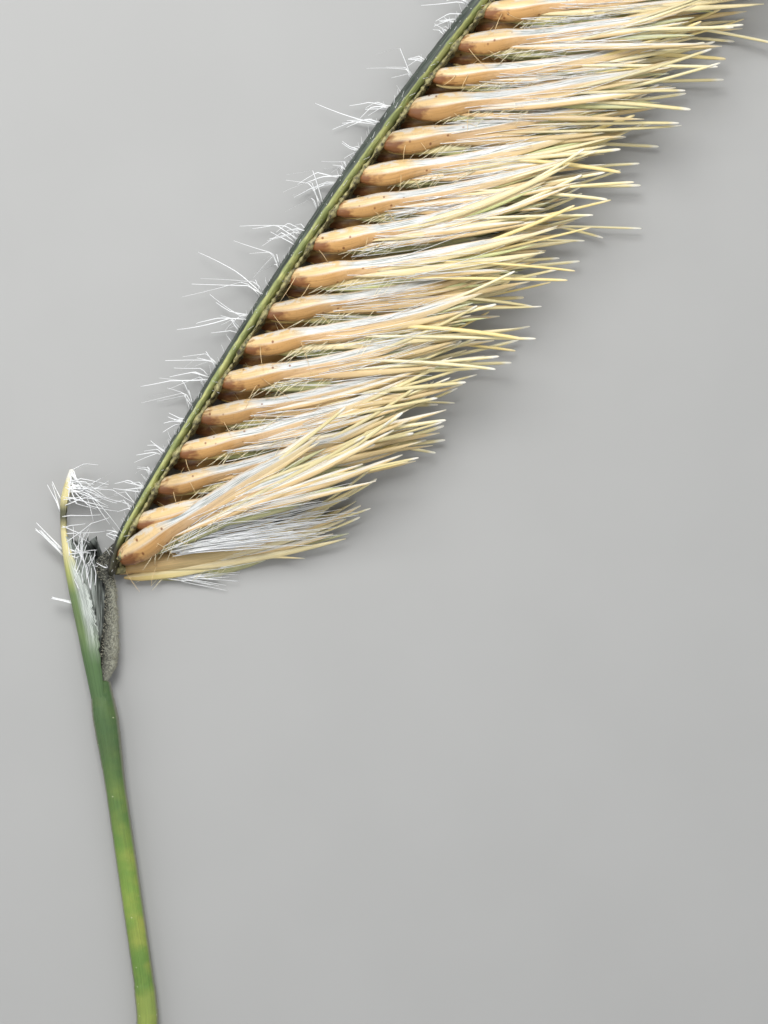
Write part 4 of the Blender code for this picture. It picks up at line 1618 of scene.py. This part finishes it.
@dataclass
class Axis(Assembly):
    """The flat axis of the head with its knuckles, and the long white hairs on its back."""

    node: str = "rachis"
    slot: str = "axis_green"
    stations: int = 620
    corners: int = 30
    tufts: int = 46
    hairs_each: int = 5
    long_radius: float = 0.017
    fuzz: int = 300
    fuzz_radius: float = 0.008

    def build(self) -> None:
        """Makes the axis and its hairs."""
        self.path = AxisPath()
        self.draw = np.random.default_rng(71)
        self.skin()
        self.long_hairs()
        self.short_hairs()

    def skin(self) -> None:
        """The axis itself: an oval section with fine ribs, swollen on the spikelets' side at each stalk.

        The section's half thickness and half width follow the path. Nine ribs wave it by two hundredths,
        and a bell-shaped bump on the upper or lower front quarter stands under each spikelet.
        """
        share = np.linspace(0.0, 1.0, self.stations)
        angle = circle(self.corners)
        ribs = 1.0 + 0.018 * np.cos(9.0 * angle)[None] + 0.012 * waves(share * 40.0, 3)[:, None]
        bump = np.zeros((self.stations, self.corners))
        for row, quarter in ((Row.UPPER, 0.9), (Row.LOWER, -0.9)):
            stands = RowPlan(row).share
            distance = (share[:, None] - stands[None]) * self.path.length
            under = np.exp(-((distance / 0.14) ** 2)).sum(axis=1)
            front = np.exp(-(((angle - quarter + np.pi) % FULL_TURN - np.pi) ** 2) / 0.35)
            bump += under[:, None] * front[None]
        thick = self.path.slim(share)[:, None] * ribs + 0.030 * bump
        wide = self.path.half_wide * self.path.thinning(share)[:, None] * ribs
        closing = np.sqrt(np.clip(np.minimum(share / 0.004, (1.0 - share) / 0.006), 0.05, 1.0))[:, None]
        middle, across = self.path.points(share), self.path.across(share)
        rings = carry_round(middle, across, thick * closing, wide * closing, angle)
        self.show("axis_skin", rings[None], AXIS_SKIN)

    def skin_places(self, share: Array, around: Array) -> Array:
        """Places just inside the axis's skin.

        Args:
            share: Shares of its length.
            around: Angles around it, from the spikelets' side over the top.

        Returns:
            The places.
        """
        out = self.path.across(share) * (np.cos(around) * self.path.slim(share) * 0.96)[:, None]
        places = self.path.points(share) + out
        places[:, 2] += np.sin(around) * self.path.half_wide * self.path.thinning(share) * 0.92
        return places

    def long_hairs(self) -> None:
        """Wisps of long white hairs, in tufts along the back, that start up the head and then turn aside."""
        total = self.tufts * self.hairs_each
        centres = np.linspace(0.012, 0.985, self.tufts) + self.draw.uniform(-0.009, 0.009, self.tufts)
        share = np.repeat(centres, self.hairs_each) + self.draw.normal(0.0, 0.0025, total)
        share = np.clip(share, 0.0, 1.0)
        around = self.draw.uniform(0.36, 0.60, total) * FULL_TURN
        across, along = self.path.across(share), self.path.along(share)
        lean = np.repeat(self.draw.uniform(-0.6, 0.8, self.tufts), self.hairs_each)
        lean += self.draw.normal(0.0, 0.25, total)
        rise = self.draw.uniform(-0.25, 0.45, (total, 1)) * np.array([0.0, 0.0, 1.0])
        headings = unit(-across + along * lean[:, None] + rise)
        fall = self.draw.normal(-0.10, 0.38, total)
        turned = unit(np.stack([-np.ones(total), fall, self.draw.uniform(-0.2, 0.25, total)], -1))
        bends = self.draw.normal(0.0, 0.09, (total, 3)) * np.array([1.0, 1.0, 0.4])
        tuft = np.repeat(self.draw.uniform(0.40, 1.55, self.tufts) ** 1.2, self.hairs_each)
        lengths = tuft * self.draw.uniform(0.4, 1.1, total)
        kinks = self.draw.uniform(0.15, 0.60, total)
        hairs = Hairs(self.skin_places(share, around), headings, lengths, bends, turned, kinks)
        tones = self.draw.uniform(0.0, 0.4, total)
        self.show_hairs("axis_long_hairs", hairs, self.long_radius, 10, SILK, tones)

    def short_hairs(self) -> None:
        """Short stiff hairs all along the back and upper face of the axis."""
        share = self.draw.uniform(0.0, 1.0, self.fuzz)
        around = self.draw.uniform(0.14, 0.70, self.fuzz) * FULL_TURN
        across, along = self.path.across(share), self.path.along(share)
        up = np.sin(around)[:, None] * np.array([0.0, 0.0, 0.6])
        out = across * np.cos(around)[:, None]
        headings = unit(out + up + along * self.draw.uniform(0.2, 1.2, (self.fuzz, 1)))
        bends = self.draw.normal(0.0, 0.1, (self.fuzz, 3))
        lengths = self.draw.uniform(0.06, 0.24, self.fuzz)
        hairs = Hairs(self.skin_places(share, around), headings, lengths, bends)
        tones = self.draw.uniform(0.0, 1.0, self.fuzz)
        self.show_hairs("axis_short_hairs", hairs, self.fuzz_radius, 5, SILK, tones)


@dataclass
class Foot(Assembly):
    """The short rough column that carries the head, with bristles over its right side and top.

    side is how far right of the stem's top it starts, leans how far left of a straight line it runs, and
    swells how wide it is, as a share of its half width and half depth.
    """

    stem_top: Point = STEM_TOP
    node: str = "spike_foot"
    slot: str = "foot_grey"
    side: float = 0.170
    leans: Stops = (
        (0.0, 0.01), (0.2, 0.035), (0.4, 0.06), (0.6, 0.12), (0.75, 0.14), (0.88, 0.07), (0.95, 0.0),
        (1.0, 0.0),
    )
    swells: Stops = (
        (0.0, 0.62), (0.03, 0.96), (0.08, 1.18), (0.22, 1.32), (0.42, 1.02), (0.60, 0.80), (0.70, 0.80),
        (0.78, 1.10), (0.86, 1.40), (0.94, 1.30), (0.985, 0.95), (1.0, 0.60),
    )
    gap: float = 0.02
    half_wide: float = 0.15
    half_deep: float = 0.17
    stations: int = 120
    corners: int = 36
    bristles: int = 620
    bristle_radius: float = 0.0095

    def centre(self, share: Array) -> Array:
        """The column's middle line, from the stem into the axis's foot.

        It is a straight line with a half sine's bow to the right, a step to the left at its lower end and
        another below its top, less the leans.

        Args:
            share: Shares of its length.

        Returns:
            The places.
        """
        path = AxisPath()
        start = np.array(self.stem_top) + np.array([self.side, self.gap, 0.0])
        end = path.points(np.array([0.028]))[0]
        line = start + (end - start) * share[:, None]
        line[:, 0] += 0.030 * np.sin(np.pi * share) - 0.10 * (1.0 - ease(share / 0.09))
        line[:, 0] -= 0.19 * ease((share - 0.66) / 0.16) * (1.0 - 0.8 * ease((share - 0.88) / 0.12))
        line[:, 0] -= profile(share, self.leans)
        line[:, 1] -= 0.10 * (1.0 - ease(share / 0.06))
        return line

    def build(self) -> None:
        """Makes the column as an oval section with small warts, then its bristles.

        The warts are the product of two waves around and along, and raise it by six hundredths. Slow
        random lumps raise it by four more.
        """
        draw = np.random.default_rng(19)
        share = np.linspace(0.0, 1.0, self.stations)
        angle = circle(self.corners)
        twist = np.sin(angle[None] * 11.0 + share[:, None] * 31.0)
        warts = np.sin(share[:, None] * 150.0 + np.sin(angle * 3.0)) * twist
        lumps = waves(share[:, None] * 7.0 + np.cos(angle)[None], 8, 4, 5.0)
        rough = profile(share, self.swells)[:, None] * (1.0 + 0.06 * warts + 0.045 * lumps)
        half_wide, half_deep = self.half_wide * rough, self.half_deep * rough
        rings = carry_round(self.centre(share), RIGHT, half_wide, half_deep, angle)
        self.show("foot_column", rings[None], FOOT_SKIN)
        spots = draw.uniform(0.03, 0.99, self.bristles)
        around = draw.uniform(-0.9, 2.6, self.bristles)
        roots = self.centre(spots)
        roots[:, 0] += self.half_wide * profile(spots, self.swells) * np.cos(around)
        roots[:, 2] += self.half_deep * profile(spots, self.swells) * np.sin(around)
        up = draw.uniform(-0.2, 1.0, self.bristles)
        headings = unit(np.stack([np.cos(around), up, np.sin(around)], -1))
        bends = draw.normal(0.0, 0.1, (self.bristles, 3))
        hairs = Hairs(roots, headings, draw.uniform(0.02, 0.058, self.bristles), bends)
        tones = draw.uniform(0.0, 1.0, self.bristles)
        self.show_hairs("foot_bristles", hairs, self.bristle_radius, 4, GREY_HAIR, tones)


@dataclass
class Bract(Assembly):
    """The pointed scale beside the foot: a channel with a thin clear margin, and a nest of white hairs.

    start is how far left of the stem's top its left edge starts, stray how far further left it bows, and
    hook how far its point turns back. sheath is how far its base reaches down the stem. The wisps' three
    lists give each bundle's place along the bract, its slope in degrees and its hairs' length.
    """

    stem_top: Point = STEM_TOP
    node: str = "bract"
    slot: str = "bract_green"
    length: float = 4.57
    start: float = 0.33
    stray: float = 0.54
    hook: float = 0.21
    width: float = 0.50
    tip_width: float = 0.12
    half_deep: float = 0.29
    wall: float = 0.055
    reach: float = math.radians(112.0)
    gap: float = 0.02
    sheath: float = 0.84
    stations: int = 130
    columns: int = 22
    wing_columns: int = 26
    hollow: Facing = Facing.RIGHT
    nest_counts: tuple[int, int, int] = (24, 14, 18)
    nest_radius: float = 0.018
    wisp_counts: tuple[int, ...] = (3, 2, 3, 2, 1)
    wisp_places: tuple[float, ...] = (0.585, 0.615, 0.36, 0.80, 0.86)
    wisp_slopes: tuple[float, ...] = (131.0, 137.0, 163.0, 108.0, 116.0)
    wisp_sizes: tuple[float, ...] = (1.0, 0.95, 0.55, 0.75, 0.55)
    wisp_radius: float = 0.022

    def left(self, share: Array) -> Array:
        """How far right of the stem's top the bract's left edge is, at a share of its length."""
        strays = self.stray * np.sin(np.pi / 2.0 * np.minimum(share / 0.8, 1.0)) ** 1.4
        return self.hook * (np.clip(share - 0.83, 0.0, None) / 0.17) ** 1.5 - self.start - strays

    def broad(self, share: Array) -> Array:
        """How wide the bract looks from above: broad low down and slim in its point.

        Args:
            share: Shares of its length.

        Returns:
            The widths.
        """
        broad = self.tip_width + (self.width - self.tip_width) * (1.0 - ease((share - 0.34) / 0.38))
        broad = broad * (0.72 + 0.28 * ease(share / 0.24)) * (1.0 - 0.45 * ease((share - 0.88) / 0.12))
        return broad * (1.0 + 0.35 * ease((share - 0.78) / 0.10)) + 0.015 * ease((share - 0.6) / 0.2)

    def skin(self, share: Array, turn: Array, shrink: Array) -> Array:
        """Places on the channel's wall.

        Args:
            share: Shares of the bract's length.
            turn: Angles round the channel, from minus its reach to its reach, with 0 at the left edge.
            shrink: How far inside the outer face a place is.

        Returns:
            The places, with a last axis of x, y and z.
        """
        broad = self.broad(share)
        clasp = 1.0 - ease(share / 0.14)
        deep = self.half_deep * broad / self.width * (1.0 + 0.35 * (1.0 - ease(share / 0.24)))
        deep = deep * (1.0 - 0.17 * clasp)
        half_wide = broad / (1.0 - math.cos(self.reach)) * (1.0 - 0.11 * clasp)
        left = self.stem_top[0] + self.left(share) + 0.205 * clasp
        x = left + half_wide - self.hollow.value * np.cos(turn) * (half_wide - shrink)
        y = self.stem_top[1] + share * self.length + self.gap - self.sheath * clasp
        z = self.stem_top[2] + np.sin(turn) * (deep - shrink) - 0.016 * clasp
        return np.stack(np.broadcast_arrays(x, y, z), -1)

    def build(self) -> None:
        """Makes the channel's two faces as one closed ring carried up the bract, then its hairs."""
        share = np.linspace(0.0, 1.0, self.stations)[:, None]
        turn = np.linspace(-self.reach, self.reach, self.columns)
        turns = np.concatenate([turn, turn[::-1]])[None]
        broad = self.broad(share)
        deep = self.half_deep * broad / self.width
        wall = np.minimum(self.wall, 0.6 * deep)
        margin = 1.0 - 0.75 * ease((np.abs(turns) / self.reach - 0.55) / 0.4)
        inner = np.concatenate([np.zeros(self.columns), np.ones(self.columns)])[None]
        ragged = 1.0 + 0.04 * waves(share * 30.0, 12) * (np.abs(turns) / self.reach) ** 4
        rings = self.skin(share, turns * ragged, wall * margin * inner)
        self.show("bract_blade", rings[None], BRACT_SKIN)
        self.wing()
        self.nest()
        self.wisps()

    def wing(self) -> None:
        """The clear wing of the bract's open side: a thin ragged sheet that reaches to the foot.

        It is a flat closed section that follows the bract's open edge up from its foot to two thirds of
        its length. Its free edge dips under the foot's left side, and draws back and frays near its top.
        """
        share = np.linspace(0.03, 0.68, self.stations)
        inner = self.left(share) + self.broad(share) * 0.45
        free = 0.19 - 0.03 * np.sin(np.pi * share / 0.68)
        free = np.maximum(free - 0.22 * ease((share - 0.54) / 0.14), inner + 0.05)
        out = np.linspace(0.0, 1.0, self.wing_columns)
        fray = 0.5 + 0.5 * np.sin(out * 44.0 + np.sin(out * 9.0) * 2.0)
        top = share[-1] - 0.20 * fray * out
        rises = share[0] + (share[:, None] - share[0]) * (top - share[0]) / (share[-1] - share[0])
        x = self.stem_top[0] + inner[:, None] + (free - inner)[:, None] * out
        y = self.stem_top[1] + rises * self.length + self.gap
        pleat = 0.035 * np.sin(out * 17.0 + share[:, None] * 7.0)
        z = self.stem_top[2] + 0.10 - 0.33 * ease(out) + pleat * (1.0 - 0.7 * out)
        sheet = np.stack([x, y, z], -1)
        under = sheet[:, ::-1] - np.array([0.0, 0.0, 0.022])
        rings = np.concatenate([sheet, under], axis=1)
        self.show("bract_wing", rings[None], WING_SKIN)

    def nest(self) -> None:
        """White hairs between the bract's point and the axis: from the point, most run right and down.

        A second set starts at the bract's inner edge and crosses the first, and a third stands in the wing.
        """
        draw = np.random.default_rng(27)
        tip, edge, low = self.nest_counts
        share = np.concatenate(
            [draw.uniform(0.90, 1.0, tip), draw.uniform(0.58, 0.90, edge), draw.uniform(0.42, 0.60, low)]
        )
        count = tip + edge + low
        turn = draw.uniform(0.45, 1.0, count) * self.reach
        roots = self.skin(share, turn, np.zeros(count))
        roots[tip + edge :, 0] += draw.uniform(0.0, 0.34, low)
        slope = np.concatenate(
            [draw.normal(-34.0, 30.0, tip), draw.normal(4.0, 30.0, edge), draw.normal(86.0, 14.0, low)]
        )
        turned = np.concatenate(
            [draw.normal(-22.0, 22.0, tip), draw.normal(-4.0, 24.0, edge), draw.normal(80.0, 16.0, low)]
        )
        lengths = np.concatenate(
            [draw.uniform(0.5, 1.55, tip), draw.uniform(0.4, 1.1, edge), draw.uniform(0.3, 0.85, low)]
        )
        rises = draw.uniform(-0.05, 0.35, count)
        headings = in_plane(slope, rises)
        bends = draw.normal(0.0, 0.12, (count, 3)) * np.array([1.0, 1.0, 0.4])
        kinks = draw.uniform(0.2, 0.65, count)
        hairs = Hairs(roots, headings, lengths, bends, in_plane(turned, rises), kinks)
        self.show_hairs("bract_hairs", hairs, self.nest_radius, 9, SILK, draw.uniform(0.0, 0.35, count))

    def wisps(self) -> None:
        """A few stout white hairs on the bract's left side, in small bundles that point up and left."""
        draw = np.random.default_rng(33)
        share = np.repeat(self.wisp_places, self.wisp_counts)
        slope = np.repeat(self.wisp_slopes, self.wisp_counts)
        count = len(share)
        share = share + draw.uniform(-0.006, 0.006, count)
        roots = self.skin(share, draw.uniform(-0.2, 0.3, count), np.zeros(count))
        rises = draw.uniform(0.0, 0.2, count)
        headings = in_plane(slope + draw.normal(0.0, 3.0, count), rises)
        turned = in_plane(slope + draw.normal(2.0, 5.0, count), rises)
        lengths = draw.uniform(0.70, 0.88, count) * np.repeat(self.wisp_sizes, self.wisp_counts)
        hairs = Hairs(roots, headings, lengths, np.zeros((count, 3)), turned)
        self.show_hairs("bract_wisps", hairs, self.wisp_radius, 8, SILK, np.zeros(count))


@dataclass
class Stem(Assembly):
    """The cut stem: finely ribbed, with a collar below the bract, and bent near its pale lower end."""

    top: Point = STEM_TOP
    node: str = "culm"
    slot: str = "stem_green"
    length: float = 8.8
    radius: float = 0.222
    lean: float = math.radians(8.2)
    bend_at: float = 0.74
    stations: int = 260
    corners: int = 48
    steps: int = 13
    cut_rounds: tuple[float, ...] = (0.02, 0.35, 0.62, 0.80, 0.88, 0.88)
    cut_dish: tuple[float, ...] = (0.004, 0.004, 0.008, 0.012, 0.004, -0.03)

    def line(self, share: Array) -> Array:
        """The stem's middle line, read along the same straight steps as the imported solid's.

        Args:
            share: Shares of its length, from its top.

        Returns:
            The places: the running sum of steps down and to the right at the lean, which ends at the bend.
        """
        places = np.arange(self.steps + 1) / self.steps
        step = self.length / self.steps
        lean = self.lean * (1.0 - ease((places - self.bend_at) / 0.08))
        x = self.top[0] + np.concatenate([[0.0], np.cumsum(np.sin(lean[:-1]) * step)])
        y = self.top[1] - np.concatenate([[0.0], np.cumsum(np.cos(lean[:-1]) * step)])
        z = self.top[2] - (self.top[2] - self.radius) * places
        return np.stack([np.interp(share, places, axis) for axis in (x, y, z)], -1)

    def thickness(self, share: Array) -> Array:
        """The stem's radius: a collar at its top, and a slightly stouter end below its bend.

        Args:
            share: Shares of its length, from its top.

        Returns:
            The radii.
        """
        collar = 0.056 * ease((share - 0.008) / 0.09) * (1.0 - ease((share - 0.09) / 0.19))
        lower = 0.012 * ease((share - 0.765) / 0.012)
        return self.radius + 0.004 + collar + lower

    def build(self) -> None:
        """Makes the skin, as a round section with fine ribs, and the cut face at its lower end.

        Twenty ribs wave the radius by a hundredth, and so does a slow random wave.
        """
        share = np.linspace(0.0, 1.0, self.stations)
        angle = circle(self.corners)
        slow = waves(share[:, None] * 9.0 + np.cos(angle) * 0.3, 4)
        ribs = 1.0 + 0.010 * np.cos(20.0 * angle)[None] + 0.012 * slow
        close = np.sqrt(np.clip(share / 0.008, 0.12, 1.0))[:, None]
        radius = self.thickness(share)[:, None] * ribs * close
        rings = carry_round(self.line(share), RIGHT, radius, radius, angle)
        self.show("stem_skin", rings[None], STEM_SKIN)
        rounds = np.array(self.cut_rounds)[:, None]
        middle = np.repeat(self.line(np.array([1.0])), len(rounds), axis=0)
        middle[:, 1] -= self.cut_dish
        size = self.radius * rounds * (1.0 + 0.02 * np.cos(13.0 * angle))
        self.show("stem_cut", carry_round(middle, RIGHT, size, size, angle)[None], PITH)


# Stage


@dataclass(frozen=True)
class Lamp:
    """A square soft light: its place and size in millimetres, and its power in watts."""

    name: str
    place: Point
    size: float
    power: float


@dataclass
class Studio:
    """A pale table, soft light and a camera that looks straight down as the photo does.

    centre is the middle of the view, frame_height the length that the view's long side takes in at level,
    and sensor that side's length on the camera's own sensor.
    """

    centre: tuple[float, float] = (-3.149, -3.420)
    frame_height: float = 22.26
    lens: float = 100.0
    sensor: float = 36.0
    level: float = 0.8
    table_half: float = 400.0
    sky: Colour = (0.93, 0.95, 1.0)
    sky_strength: float = 0.30
    lamps: tuple[Lamp, ...] = (
        Lamp("key", (-12.0, 28.0, 50.0), 26.0, 0.033),
        Lamp("fill", (30.0, -26.0, 44.0), 60.0, 0.010),
        Lamp("side", (-42.0, -6.0, 30.0), 40.0, 0.007),
    )

    def build(self) -> None:
        """Sets the table, the lights and the camera."""
        self.table()
        for lamp in self.lamps:
            self.light(lamp)
        world = bpy.data.worlds.new("studio")
        bpy.context.scene.world = world
        world.use_nodes = True
        sky = world.node_tree.nodes["Background"]
        sky.inputs["Color"].default_value = (*self.sky, 1.0)
        sky.inputs["Strength"].default_value = self.sky_strength
        bpy.context.scene.view_settings.view_transform = "Standard"
        self.camera()

    def table(self) -> None:
        """A wide flat square at the height of the surface."""
        half = self.table_half * MM
        mesh = bpy.data.meshes.new("table")
        corners = [(-half, -half, 0.0), (half, -half, 0.0), (half, half, 0.0), (-half, half, 0.0)]
        mesh.from_pydata(corners, [], [(0, 1, 2, 3)])
        table = bpy.data.objects.new("table", mesh)
        bpy.context.scene.collection.objects.link(table)
        mesh.materials.append(TABLE.material())

    def light(self, lamp: Lamp) -> None:
        """Hangs a lamp in its place and aims it at the middle of the view.

        Args:
            lamp: The lamp.
        """
        data = bpy.data.lights.new(lamp.name, "AREA")
        data.size = lamp.size * MM
        data.energy = lamp.power
        light = bpy.data.objects.new(lamp.name, data)
        light.location = [value * MM for value in lamp.place]
        target = np.array([*self.centre, 0.0]) - np.array(lamp.place)
        tilt = math.atan2(math.hypot(target[0], target[1]), -target[2])
        light.rotation_euler = (tilt, 0.0, math.atan2(target[1], target[0]) - math.pi / 2.0)
        bpy.context.scene.collection.objects.link(light)

    def camera(self) -> None:
        """A camera straight above the middle of the view, as far off as its lens needs for the frame."""
        data = bpy.data.cameras.new("camera")
        data.lens = self.lens
        data.sensor_width = self.sensor
        data.clip_start = 0.002
        data.clip_end = 5.0
        camera = bpy.data.objects.new("camera", data)
        away = self.frame_height * self.lens / self.sensor
        camera.location = (self.centre[0] * MM, self.centre[1] * MM, (away + self.level) * MM)
        bpy.context.scene.collection.objects.link(camera)
        bpy.context.scene.camera = camera


def main() -> None:
    """Dresses the seed head, part by part, with a report of each piece, and sets it on its stage."""
    logging.basicConfig(level=logging.INFO, format="%(name)s %(message)s")
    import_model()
    Stem().build()
    Bract().build()
    Foot().build()
    Axis().build()
    SpikeletRow(Row.UPPER, "spikelets_upper_row", "straw", KEELED_HUSK).build()
    SpikeletRow(Row.LOWER, "spikelets_lower_row", "pale_straw", SHADED_UNDER_HUSK).build()
    LowestFloret().build()
    Studio().build()


if __name__ == "__main__":
    main()
